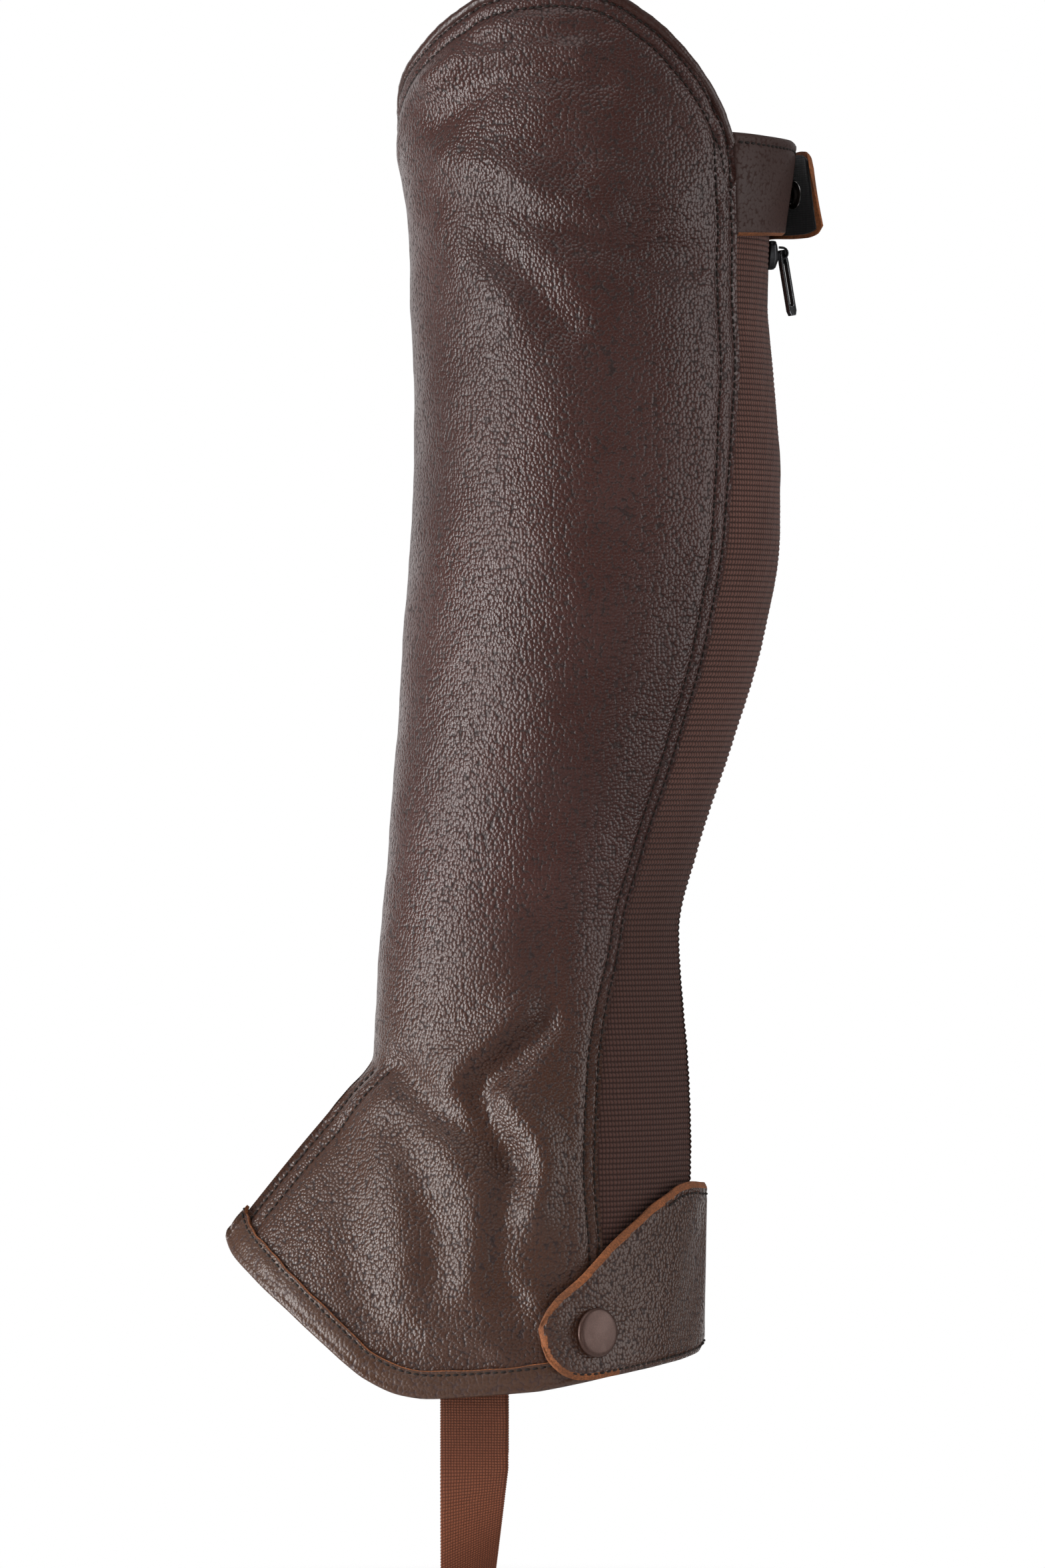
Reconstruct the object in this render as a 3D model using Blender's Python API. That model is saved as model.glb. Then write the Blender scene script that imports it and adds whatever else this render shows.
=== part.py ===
# Left half chap: a leather gaiter kept in the shape of the unseen leg that wears it.
# Outer leather wraps the shin, a ribbed elastic panel and a zip close the back,
# two tabs close over the zip and an elastic strap passes under the foot.
# Z is up, -X is the toe, +X is the heel, -Y is the outer side of the leg.
# Working units are millimetres and degrees; objects are made in metres.
import math

import bpy
import numpy as np

METRES = 0.001

# Wall thicknesses and the clearance kept between pieces.
LEATHER = 1.6
ELASTIC = 1.5
LINING = 0.8
TAPE = 1.0
GAP = 0.3

# The leg's sections. Front and back are reaches on X from the axis, centre is where
# the section is widest. Nose and heel sharpen the front and the back of a section.
FORM_COLUMNS = ("height", "front", "back", "half_width", "centre", "nose", "heel")
FORM = (
    (172.0, -62.8, 61.5, 52.0, -2.0, 0.10, 0.05),
    (119.0, -62.2, 60.1, 53.0, -1.0, 0.10, 0.05),
    (88.0, -59.2, 56.5, 53.0, -0.7, 0.10, 0.05),
    (69.0, -58.6, 55.9, 53.1, -0.6, 0.10, 0.05),
    (46.0, -57.5, 57.8, 53.4, -0.4, 0.10, 0.05),
    (13.0, -57.3, 59.9, 53.8, 0.0, 0.10, 0.05),
    (-4.0, -58.4, 59.9, 53.7, 0.0, 0.10, 0.06),
    (-38.0, -60.9, 54.6, 51.0, -1.0, 0.11, 0.16),
    (-71.0, -63.2, 44.9, 46.5, -6.0, 0.11, 0.25),
    (-105.0, -65.9, 33.8, 42.0, -14.0, 0.12, 0.50),
    (-130.0, -68.0, 28.1, 39.5, -19.0, 0.12, 0.70),
    (-155.0, -69.7, 29.6, 39.1, -19.0, 0.14, 0.78),
    (-169.0, -70.4, 30.9, 39.3, -19.0, 0.20, 0.80),
    (-171.0, -71.2, 31.0, 39.5, -18.8, 0.30, 0.80),
    (-181.0, -79.6, 31.5, 40.1, -18.4, 0.70, 0.81),
    (-197.0, -93.2, 31.9, 41.3, -18.0, 0.95, 0.82),
    (-231.0, -120.5, 30.9, 43.2, -18.0, 0.97, 0.83),
    (-280.0, -160.0, 30.7, 44.5, -18.0, 1.00, 0.85),
)

# Outer rear seam: where the leather's rear edge lies. Turn 0 is the back of the leg,
# 90 the outer side, 180 the shin or toe and 270 the inner side.
SEAM_COLUMNS = ("height", "turn")
SEAM = (
    (170.0, 44.4), (119.0, 44.4), (84.0, 38.9), (62.0, 38.5), (48.0, 39.2), (30.0, 42.6),
    (4.0, 46.2), (-31.0, 49.0), (-72.0, 51.1), (-100.0, 52.4), (-128.0, 54.0), (-156.0, 62.7),
    (-172.0, 66.1), (-202.0, 68.6), (-228.0, 66.2), (-240.0, 65.6), (-280.0, 65.6),
)

# Height of the finished top edge and of the finished hem round the leg.
TOP_COLUMNS = ("turn", "height")
TOP = (
    (44.0, 118.6), (49.4, 128.9), (56.8, 139.2), (63.5, 146.8), (69.8, 152.9),
    (75.8, 157.5), (81.6, 161.3), (90.0, 164.5), (101.4, 165.6), (114.0, 164.6), (125.3, 162.1),
    (133.0, 158.5), (141.7, 154.1), (152.7, 147.6), (165.0, 141.0), (173.0, 136.0),
    (180.0, 130.2), (200.0, 121.0), (225.0, 115.0), (270.0, 112.5), (320.0, 116.0), (360.0, 118.5),
)
HEM_COLUMNS = ("turn", "height")
HEM = (
    (0.0, -262.0), (22.0, -263.3), (37.0, -264.6), (57.0, -266.7), (73.0, -269.2), (87.5, -271.5),
    (95.0, -272.6), (102.6, -273.9), (108.4, -274.5), (111.8, -273.6), (117.8, -268.8),
    (121.6, -264.2), (125.8, -258.9), (130.7, -253.3), (136.3, -247.6), (142.7, -242.3),
    (151.5, -236.2), (160.9, -231.4), (170.0, -227.6), (180.0, -225.0),
)

# Folds of the leather as seen from the outer side: rise (negative for a valley),
# half breadth, then the line it follows as X and height.
OUTER_FOLDS = {
    "ankle_valley": (-3.2, 3.6, ((-17.6, -154.1), (-20.4, -164.4), (-29.6, -171.2), (-35.3, -177.0),
                                 (-35.9, -182.7), (-30.7, -191.7), (-25.0, -201.0))),
    "ankle_valley_foot": (-1.5, 4.5, ((-24.0, -209.0), (-28.4, -216.9), (-30.7, -232.9), (-26.0, -251.0))),
    "ankle_shelf": (1.2, 5.0, ((-46.6, -162.0), (-29.6, -156.5), (-21.6, -155.0))),
    "ankle_ridge": (1.2, 3.6, ((-22.7, -159.0), (-38.0, -173.5), (-42.0, -180.0))),
    "heel_ridge": (2.4, 4.5, ((-30.0, -181.5), (-24.0, -192.0), (-17.3, -202.0))),
    "instep_ridge": (1.1, 4.5, ((-55.9, -196.3), (-50.0, -207.7), (-43.3, -218.0))),
    "instep_valley": (-1.3, 5.0, ((-63.8, -185.0), (-56.9, -212.3), (-47.9, -232.9))),
    "flare_ridge": (1.2, 6.0, ((-71.8, -178.1), (-69.5, -198.7), (-68.2, -216.9), (-64.9, -255.6))),
    "flare_valley": (-1.3, 7.0, ((-75.2, -194.0), (-81.9, -210.0), (-81.9, -232.9), (-75.2, -247.0))),
    "hem_hump": (1.2, 4.0, ((-52.5, -255.6), (-36.3, -256.8), (-30.7, -261.0))),
    "top_pad": (1.0, 5.0, ((-51.2, 138.2), (-41.8, 146.2), (-25.6, 151.0), (-12.2, 151.6), (-1.3, 147.6))),
    "top_pad_valley": (-0.9, 4.5, ((-48.5, 128.0), (-32.3, 140.0), (-16.2, 143.0), (0.0, 139.0))),
    "knee_ridge": (1.3, 5.0, ((-44.5, 111.1), (-32.3, 105.8), (-21.6, 98.9), (-14.9, 96.4))),
    "knee_valley": (-1.5, 5.0, ((-31.1, 111.1), (-20.2, 105.8), (-6.7, 100.4), (1.3, 94.9),
                                (14.9, 85.5), (30.0, 84.5))),
    "rear_ridge": (1.0, 4.0, ((5.5, 96.4), (14.9, 90.9), (23.0, 89.5))),
    "front_ridge": (0.9, 6.0, ((-46.0, 88.2), (-36.5, 76.0), (-27.1, 68.0))),
    "front_valley": (-1.1, 6.0, ((-35.1, 86.9), (-21.6, 72.0), (-12.2, 61.1))),
}
INNER_FOLDS = {
    "ankle_valley": (-2.6, 4.5, ((-8.0, -150.0), (-16.0, -166.0), (-29.0, -176.0), (-31.0, -188.0),
                                 (-22.0, -203.0))),
    "heel_ridge": (1.8, 5.0, ((-24.0, -178.0), (-19.0, -190.0), (-10.0, -201.0))),
    "instep_valley": (-1.2, 6.0, ((-62.0, -186.0), (-55.0, -210.0), (-44.0, -236.0))),
    "flare_ridge": (1.1, 6.0, ((-72.0, -182.0), (-70.0, -205.0), (-65.0, -245.0))),
    "knee_valley": (-1.3, 6.0, ((-38.0, 84.0), (-20.0, 76.0), (2.0, 70.0))),
    "knee_ridge": (1.1, 6.0, ((-36.0, 96.0), (-16.0, 90.0), (8.0, 82.0))),
}

# Grid lines of the leather: turns past the seam, and the share of the height between edges.
LEATHER_TURNS_SIDE = 22
LEATHER_TURNS_TOE = (171.0, 176.5, 180.0)
LEATHER_TURNS_INNER = 11
LEATHER_REAR_SIDE = 12.2
LEATHER_REAR_SEWN = 5.0
LEATHER_BANDS = ((95.0, 6), (-120.0, 12), (-170.0, 11), (-212.0, 9))
LEATHER_FOOT_ROWS = 4
SLIT_TOP = -170.0
SLIT_EDGE = 1.75

# Ribbed elastic.
RIB_PITCH = 1.68
RIB_DEPTH = 0.4
RIB_TOP = 92.0
RIB_FOOT = -244.0
ELASTIC_UNDER = 6.0
ELASTIC_STRIPS = 5
ELASTIC_REAR_SIDE = 2.7
ELASTIC_TOP = 117.6
ELASTIC_DEPTH = LEATHER + 1.5 * GAP

# Edge pieces.
HEM_BAND = 8.6
HEM_WALL = 1.2
HEM_START = 22.0
PIPING_RADIUS = 1.3
PIPING_START = 0.6

# Zip: distances towards the inner side from the back of the leg, and its ends.
# The slider's sections are share of its length, half width and thickness.
ZIP_SIDE = 7.6
ZIP_TAPE_START = 3.0
ZIP_TAPE_END = 16.0
ZIP_TOP = 117.6
ZIP_FOOT = -258.0
ZIP_DEPTH = LEATHER + 2 * GAP
SLIDER_TOP = 88.2
SLIDER_LENGTH = 9.0
SLIDER_SHAPE = ((0.5, 3.4, 2.2), (0.35, 4.4, 2.6), (-0.1, 3.6, 3.4), (-0.42, 2.6, 2.6), (-0.5, 2.2, 2.0))
HINGE_HEIGHT = 84.6
HINGE_OFF = 3.1
BRIDGE_RADII = (1.35, 2.15)
BRIDGE_WIDTH = 1.4
PULL_WALL = 1.3
PULL_LEAN = 12.0

# Zip pull outlines: half width and distance down from the hinge.
PULL_OUTLINE = ((1.3, -1.0), (2.0, -0.2), (2.5, 3.0), (2.5, 18.6), (1.6, 20.0))
PULL_WINDOW = ((1.1, 1.0), (1.1, 2.0), (1.3, 4.0), (1.3, 16.0), (0.9, 17.0))

# Top patch: turn, top height, foot height and the stand-off of its outer face.
PATCH_COLUMNS = ("turn", "top", "foot", "off")
PATCH = (
    (-6.0, 118.4, 90.4, 2.9), (0.0, 118.6, 89.8, 2.9), (8.0, 119.0, 89.2, 2.8), (16.0, 119.2, 88.8, 2.3),
    (24.0, 119.4, 88.4, 1.5), (32.0, 119.8, 88.0, 0.6), (37.6, 120.0, 87.8, 0.1),
)

# Top tab: the turns where it hugs the inner leather, then the inner face of its free end,
# as X and Y along the top edge, X and Y along the foot edge, and the heights of both.
TOP_TAB_ROOT = (312.0, 322.0, 332.0, 342.0)
TOP_TAB_HEIGHTS = (116.0, 89.4)
TOP_TAB_OFF = 0.9
TOP_TAB_FREE = (
    (61.6, 9.6, 58.4, 10.2, 116.2, 89.0), (63.2, 5.6, 61.4, 5.4, 116.4, 88.8),
    (64.4, 2.0, 65.0, 1.2, 116.2, 88.9), (65.4, -1.0, 68.4, -2.4, 114.9, 90.0),
    (65.9, -2.6, 70.0, -4.4, 111.0, 92.4),
)

# Ankle tab: turn, top height and foot height.
ANKLE_TAB_COLUMNS = ("turn", "top", "foot")
ANKLE_TAB = (
    (-30.0, -212.0, -256.0), (-15.0, -209.5, -258.5), (0.0, -208.5, -260.2), (12.0, -208.3, -261.8),
    (22.6, -207.9, -262.8), (31.4, -208.7, -263.8), (40.1, -211.7, -264.6), (47.5, -214.6, -265.4),
    (54.0, -218.8, -266.1), (60.3, -222.8, -266.9), (66.0, -227.0, -267.6), (71.2, -231.6, -268.3),
    (76.6, -236.4, -268.4), (81.6, -240.2, -267.2), (85.6, -243.4, -264.4), (88.1, -247.0, -261.2),
    (89.4, -251.6, -257.2),
)
ANKLE_TAB_OFF = HEM_WALL + 2 * GAP + 0.1
ANKLE_SNAP = (71.4, -253.7)
SNAP_RADIUS = 7.75

# Stirrup strap: depth of the front and the rear edge of the loop, and where it is sewn in.
STRAP_WALL = 1.4
STRAP_TOP = -262.0
STRAP_BEND = -296.0
STRAP_FRONT_SPAN = 36.4
STRAP_REAR_SPAN = 39.6
STRAP_FRONT_X = -48.6
STRAP_REAR_X = -28.0
STRAP_FRONT_FOOT = -350.0
STRAP_REAR_FOOT = -334.0
STRAP_REAR_DRIFT = -4.5

COLOURS = {
    "leather": (0.045, 0.027, 0.022),
    "leather_edge": (0.050, 0.028, 0.020),
    "elastic": (0.048, 0.022, 0.016),
    "strap": (0.105, 0.038, 0.022),
    "lining": (0.008, 0.008, 0.009),
    "zip_tape": (0.030, 0.016, 0.012),
    "snap": (0.090, 0.062, 0.050),
    "zip_metal": (0.035, 0.036, 0.038),
}
METAL = ("snap", "zip_metal")


def smooth(rows, columns, column, at):
    """Value of one column at each place, along a monotone cubic through the rows."""
    table = np.array(rows, dtype=float)
    if table[0, 0] > table[-1, 0]:
        table = table[::-1]
    x, y = table[:, 0], table[:, columns.index(column)]
    step = np.diff(x)
    slope = np.diff(y) / step
    rate = np.zeros(len(x))
    rate[0], rate[-1] = slope[0], slope[-1]
    for k in range(1, len(x) - 1):
        if slope[k - 1] * slope[k] > 0:
            before, after = 2 * step[k] + step[k - 1], step[k] + 2 * step[k - 1]
            rate[k] = (before + after) / (before / slope[k - 1] + after / slope[k])
    at = np.clip(np.asarray(at, dtype=float), x[0], x[-1])
    k = np.clip(np.searchsorted(x, at) - 1, 0, len(x) - 2)
    t = (at - x[k]) / step[k]
    return (y[k] * (1 + 2 * t) * (1 - t) ** 2 + y[k + 1] * t * t * (3 - 2 * t)
            + step[k] * (rate[k] * t * (1 - t) ** 2 - rate[k + 1] * t * t * (1 - t)))


def signed_power(value, exponent):
    return np.sign(value) * np.abs(value) ** exponent


def form(turn, height):
    """Points of the smooth leg form."""
    turn = np.radians(np.asarray(turn, dtype=float))
    height = np.asarray(height, dtype=float)
    front, back, half_width, centre, nose, heel = (
        smooth(FORM, FORM_COLUMNS, name, height) for name in FORM_COLUMNS[1:])
    across, along = np.sin(turn), np.cos(turn)
    to_front = along < 0
    reach = np.where(to_front, centre - front, back - centre)
    x = centre + reach * signed_power(along, np.where(to_front, 1 + 0.18 * nose, 1.0))
    y = -half_width * signed_power(across, np.where(to_front, 1 + 0.74 * nose, 1 + heel))
    return np.stack([x, y, height + 0 * x], axis=-1)


def fold_rise(points):
    """Rise of the folds at points of the form, read in side view."""
    side = points[..., [0, 2]]
    total = np.zeros(side.shape[:-1])
    for folds, sign in ((OUTER_FOLDS, -1.0), (INNER_FOLDS, 1.0)):
        on_side = np.clip(sign * points[..., 1] / 6.0, 0.0, 1.0)
        for rise, breadth, line in folds.values():
            line = np.array(line)
            nearest = np.full(side.shape[:-1], 1e9)
            for start, end in zip(line[:-1], line[1:]):
                run = end - start
                share = np.clip(((side - start) @ run) / (run @ run), 0.0, 1.0)
                away = side - (start + share[..., None] * run)
                nearest = np.minimum(nearest, (away ** 2).sum(axis=-1))
            total += rise * on_side * np.exp(-nearest / breadth ** 2)
    return total


def outward(turn, height, surface):
    """Unit normals of a surface function, pointing away from the leg."""
    around = surface(turn + 0.4, height) - surface(turn - 0.4, height)
    down = surface(turn, height - 0.4) - surface(turn, height + 0.4)
    normal = np.cross(around, down)
    return normal / np.linalg.norm(normal, axis=-1, keepdims=True)


def skin(turn, height):
    """Points of the leather's outer face: the form with its folds."""
    points = form(turn, height)
    return points + outward(turn, height, form) * fold_rise(points)[..., None]


def moved(turn, height, off):
    """Points of the leather's outer face moved outwards."""
    turn, height = np.broadcast_arrays(np.asarray(turn, dtype=float), np.asarray(height, dtype=float))
    return skin(turn, height) + outward(turn, height, skin) * np.asarray(off, dtype=float)[..., None]


def hem_height(turn):
    """Finished hem, the inner side a little lower than the outer one."""
    turn = np.asarray(turn, dtype=float) % 360.0
    mirrored = np.where(turn > 180.0, 360.0 - turn, turn)
    lower = 1.8 * np.exp(-((turn - 246.0) / 26.0) ** 2)
    return smooth(HEM, HEM_COLUMNS, "height", mirrored) - lower


def top_height(turn, inset=0.0):
    """Finished top edge, or a line kept at a distance below it."""
    level = smooth(TOP, TOP_COLUMNS, "height", turn)
    rise = smooth(TOP, TOP_COLUMNS, "height", turn + 0.5) - smooth(TOP, TOP_COLUMNS, "height", turn - 0.5)
    return level - inset * np.minimum(np.hypot(1.0, 1.1 * rise), 3.2)


def back_turn(side, height):
    """Turn of a place at a distance towards the inner side from the back of the leg."""
    half_width = smooth(FORM, FORM_COLUMNS, "half_width", height)
    heel = smooth(FORM, FORM_COLUMNS, "heel", height)
    return -np.degrees(np.arcsin((side / half_width) ** (1.0 / (1.0 + heel))))


def grid_faces(rows, columns):
    """Quads of a grid whose rows run down and whose columns run round the leg."""
    return [(r * columns + c, r * columns + c + 1, (r + 1) * columns + c + 1, (r + 1) * columns + c)
            for r in range(rows - 1) for c in range(columns - 1)]


def walls(faces):
    """Directed edges that belong to one face only, the rim of an open sheet."""
    directed = set()
    for face in faces:
        directed.update(zip(face, face[1:] + face[:1]))
    return [edge for edge in sorted(directed) if (edge[1], edge[0]) not in directed]


def add_object(name, points, faces, colour, smooth_shaded=True):
    """One closed mesh with its own material."""
    mesh = bpy.data.meshes.new(name)
    mesh.from_pydata([tuple(float(v) * METRES for v in p) for p in points], [], [tuple(f) for f in faces])
    mesh.validate()
    for polygon in mesh.polygons:
        polygon.use_smooth = smooth_shaded
    material = bpy.data.materials.new(name)
    material.use_nodes = True
    shader = material.node_tree.nodes["Principled BSDF"]
    shader.inputs["Base Color"].default_value = (*COLOURS[colour], 1.0)
    shader.inputs["Metallic"].default_value = 1.0 if colour in METAL else 0.0
    shader.inputs["Roughness"].default_value = 0.35 if colour in METAL else 0.55
    mesh.materials.append(material)
    bpy.context.scene.collection.objects.link(bpy.data.objects.new(name, mesh))


def add_wall(name, outer, inner, faces, colour):
    """A closed wall between matching outer and inner points."""
    count = len(outer)
    solid = list(faces)
    solid += [tuple(v + count for v in reversed(face)) for face in faces]
    solid += [(b, a, a + count, b + count) for a, b in walls(faces)]
    add_object(name, np.concatenate([outer, inner]), solid, colour)


def add_sheet(name, turn, height, off, wall, colour):
    """A plain panel over a grid of turns and heights."""
    rows, columns = turn.shape
    outer = moved(turn, height, off)
    inner = moved(turn, height, off - wall)
    add_wall(name, outer.reshape(-1, 3), inner.reshape(-1, 3), grid_faces(rows, columns), colour)


def add_loft(name, sections, colour):
    """A closed body through sections that have the same number of points."""
    stations, corners = len(sections), len(sections[0])
    points = np.concatenate([np.asarray(s, dtype=float) for s in sections])
    faces = []
    for s in range(stations - 1):
        for c in range(corners):
            d = (c + 1) % corners
            faces.append((s * corners + c, s * corners + d, (s + 1) * corners + d, (s + 1) * corners + c))
    last = (stations - 1) * corners
    faces.append(tuple(reversed(range(corners))))
    faces.append(tuple(range(last, last + corners)))
    add_object(name, points, faces, colour)


def leather_turns(column, height):
    """Turn of one grid line of the leather at each height."""
    toe = LEATHER_TURNS_TOE + tuple(360.0 - t for t in reversed(LEATHER_TURNS_TOE[:-1]))
    inner_start = LEATHER_TURNS_SIDE + len(toe)
    if column < LEATHER_TURNS_SIDE:
        seam = smooth(SEAM, SEAM_COLUMNS, "turn", height)
        return seam + (toe[0] - seam) * column / LEATHER_TURNS_SIDE
    if column < inner_start:
        return toe[column - LEATHER_TURNS_SIDE] + 0.0 * height
    rear = 360.0 + back_turn(LEATHER_REAR_SIDE, height)
    share = (column - inner_start + 1) / LEATHER_TURNS_INNER
    if share > 1.0:
        return rear
    return toe[-1] + (rear - LEATHER_REAR_SEWN - toe[-1]) * share


def leather_grid():
    """Turns and heights of the leather's grid, stretched between its top edge and its hem."""
    count = LEATHER_TURNS_SIDE + 2 * len(LEATHER_TURNS_TOE) - 1 + LEATHER_TURNS_INNER + 1
    guide = np.array([float(leather_turns(c, np.array(115.0))) for c in range(count)])
    low_guide = np.array([float(leather_turns(c, np.array(-262.0))) for c in range(count)])
    top = top_height(guide, 2 * PIPING_RADIUS + GAP)
    hem = hem_height(low_guide)
    rows = [top]
    previous = top
    for level, steps in LEATHER_BANDS:
        if level < SLIT_TOP:
            reach = (level - SLIT_TOP) / (-270.0 - SLIT_TOP)
            target = SLIT_TOP + (hem + HEM_BAND - SLIT_TOP) * reach * 1.15
        else:
            target = np.full(count, level)
        rows += [previous + (target - previous) * k / steps for k in range(1, steps + 1)]
        previous = target
    target = hem + HEM_BAND
    steps = LEATHER_FOOT_ROWS
    rows += [previous + (target - previous) * k / steps for k in range(1, steps + 1)]
    foot = hem + HEM_WALL + GAP + 0.8 * np.exp(-((low_guide - 180.0) / 8.0) ** 2)
    rows += [0.5 * (target + foot), foot]
    height = np.array(rows)
    turn = np.stack([leather_turns(c, height[:, c]) for c in range(count)], axis=1)
    return turn, height


def add_leather():
    """The whole leather panel, slit and brought edge to edge down the instep."""
    turn, height = leather_grid()
    outer = moved(turn, height, 0.0 * turn)
    inner = moved(turn, height, 0.0 * turn - LEATHER)
    rows, columns = turn.shape
    toe = LEATHER_TURNS_SIDE + len(LEATHER_TURNS_TOE) - 1
    slit_rows = [r for r in range(rows) if height[r, toe] < SLIT_TOP - 0.5]
    for r in slit_rows:
        for c in range(toe - 6, toe + 7):
            side = -1.0 if c < toe else 1.0
            if c != toe:
                outer[r, c, 1] = side * max(side * outer[r, c, 1], SLIT_EDGE)
                inner[r, c, 1] = side * max(side * inner[r, c, 1], 0.5 * GAP)
    tips = outer[slit_rows, toe].copy()
    inner[slit_rows, toe] = tips + (0.6, -0.5 * GAP, 0.0)
    outer[slit_rows, toe] = tips - (0.0, SLIT_EDGE, 0.0)
    outer = np.concatenate([outer.reshape(-1, 3), tips + (0.0, SLIT_EDGE, 0.0)])
    inner = np.concatenate([inner.reshape(-1, 3), tips + (0.6, 0.5 * GAP, 0.0)])
    far_edge = {r * columns + toe: rows * columns + k for k, r in enumerate(slit_rows)}
    faces = []
    for face in grid_faces(rows, columns):
        past_toe = min(v % columns for v in face) >= toe
        faces.append(tuple(far_edge.get(v, v) for v in face) if past_toe else face)
    add_wall("leather_panel", outer, inner, faces, "leather")


def bridge(first, second, level, swap):
    """Triangles between two point lines that run down at different spacings."""
    faces = []
    i = j = 0
    while i < len(first) - 1 or j < len(second) - 1:
        step_first = j == len(second) - 1 or (
            i < len(first) - 1 and level[first[i + 1]] >= level[second[j + 1]])
        if step_first:
            faces.append((first[i], second[j], first[i + 1]))
            i += 1
        else:
            faces.append((first[i], second[j], second[j + 1]))
            j += 1
    return [tuple(reversed(face)) for face in faces] if swap else faces


def add_elastic():
    """The elastic panel, its ribs raised in the outer face over a plain inside."""
    ribs = int(round((RIB_TOP - RIB_FOOT) / RIB_PITCH))
    heights = [ELASTIC_TOP, 106.0]
    lift = [0.0, 0.0]
    for k in range(2 * ribs + 1):
        heights.append(RIB_TOP - 0.5 * RIB_PITCH * k)
        lift.append(-RIB_DEPTH if k % 2 == 0 else 0.0)
    heights.append(heights[-1] - 8.0)
    lift.append(0.0)
    heights = np.array(heights)
    columns = ELASTIC_STRIPS + 1

    def turns(level):
        seam = smooth(SEAM, SEAM_COLUMNS, "turn", level)[:, None] + ELASTIC_UNDER
        rear = back_turn(ELASTIC_REAR_SIDE, level)[:, None]
        return rear + (seam - rear) * np.linspace(0.0, 1.0, columns)[None, :]

    def foot(turn):
        return hem_height(turn) + HEM_WALL + GAP

    turn_out = turns(heights)
    level_out = np.repeat(heights[:, None], columns, axis=1)
    last = turns(np.array([-262.0]))
    turn_out = np.concatenate([turn_out, last])
    level_out = np.concatenate([level_out, foot(last)])
    raised = np.array(lift + [0.0])
    outer = moved(turn_out, level_out, -ELASTIC_DEPTH + raised[:, None] + 0 * turn_out)
    plain = np.concatenate([np.linspace(ELASTIC_TOP, heights[-1], 30), [-262.0]])
    turn_in = turns(plain)
    level_in = np.repeat(plain[:, None], columns, axis=1)
    level_in[-1] = foot(turn_in[-1])
    inner = moved(turn_in, level_in, -ELASTIC_DEPTH - ELASTIC + 0 * turn_in)
    rows_out, rows_in = len(turn_out), len(turn_in)
    points = np.concatenate([outer.reshape(-1, 3), inner.reshape(-1, 3)])
    start = rows_out * columns
    faces = grid_faces(rows_out, columns)
    faces += [tuple(start + v for v in reversed(f)) for f in grid_faces(rows_in, columns)]
    for c in range(columns - 1):
        faces.append((c + 1, c, start + c, start + c + 1))
        a, b = (rows_out - 1) * columns + c, start + (rows_in - 1) * columns + c
        faces.append((a, a + 1, b + 1, b))
    level = points[:, 2]
    for c, swap in ((0, True), (columns - 1, False)):
        line_out = [r * columns + c for r in range(rows_out)]
        line_in = [start + r * columns + c for r in range(rows_in)]
        faces += bridge(line_out, line_in, level, swap)
    add_object("elastic_panel", points, faces, "elastic")


def add_hem_binding():
    """A leather strip folded over the hem, its band on the outside."""
    turns = leather_grid()[0][-1]
    turns = np.concatenate([np.arange(HEM_START, turns[0] - 5.0, 9.0), turns])
    low = hem_height(turns)
    band = low + HEM_BAND
    lift = low + HEM_WALL
    out = GAP + HEM_WALL
    corners = [
        moved(turns, band, out + 0 * turns), moved(turns, low + 0.5, out + 0 * turns),
        moved(turns, low, 0 * turns + 0.6), moved(turns, low, 0 * turns - LEATHER),
        moved(turns, lift, 0 * turns - LEATHER), moved(turns, lift, 0 * turns + GAP),
        moved(turns, band, 0 * turns + GAP)]
    clear = np.array((out, out, 0.6, 0.35 - SLIT_EDGE, 0.35 - SLIT_EDGE, GAP, GAP))
    sections = []
    for k, turn in enumerate(turns):
        section = np.array([corner[k] for corner in corners])
        if turn != 180.0 and abs(turn - 180.0) < 40.0:
            side = -1.0 if turn < 180.0 else 1.0
            section[:, 1] = side * np.maximum(side * section[:, 1], SLIT_EDGE + clear)
        sections.append(section[::-1])
    add_loft("hem_binding", sections, "leather_edge")


def add_piping():
    """A rolled leather edge along the top."""
    turns = leather_grid()[0][0]
    turns[0] += PIPING_START
    level = top_height(turns, PIPING_RADIUS)
    middle = moved(turns, level, 0 * turns - 0.5 * LEATHER)
    out = moved(turns, level, 0 * turns + 1.0) - middle
    out /= np.linalg.norm(out, axis=-1, keepdims=True)
    along = np.gradient(middle, axis=0)
    up = np.cross(along, out)
    up /= np.linalg.norm(up, axis=-1, keepdims=True)
    up *= np.sign(up[:, 2:3])
    angles = np.radians(np.arange(0.0, 360.0, 60.0))
    sections = []
    for k in range(len(turns)):
        ring = [math.cos(a) * out[k] + math.sin(a) * up[k] for a in angles]
        sections.append([middle[k] + PIPING_RADIUS * arm for arm in ring])
    add_loft("top_piping", sections, "leather_edge")


def between(columns, rows, name_top, name_foot, table, names):
    """A grid of turns and heights between two edges of a table."""
    share = np.linspace(0.0, 1.0, rows)[:, None]
    top = smooth(table, names, name_top, columns)[None, :]
    foot = smooth(table, names, name_foot, columns)[None, :]
    return np.repeat(columns[None, :], rows, axis=0), top + (foot - top) * share


def add_top_patch():
    columns = np.array([row[0] for row in PATCH])
    turn, height = between(columns, 4, "top", "foot", PATCH, PATCH_COLUMNS)
    off = smooth(PATCH, PATCH_COLUMNS, "off", turn)
    add_sheet("top_patch", turn, height, off, LEATHER, "leather")


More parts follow.
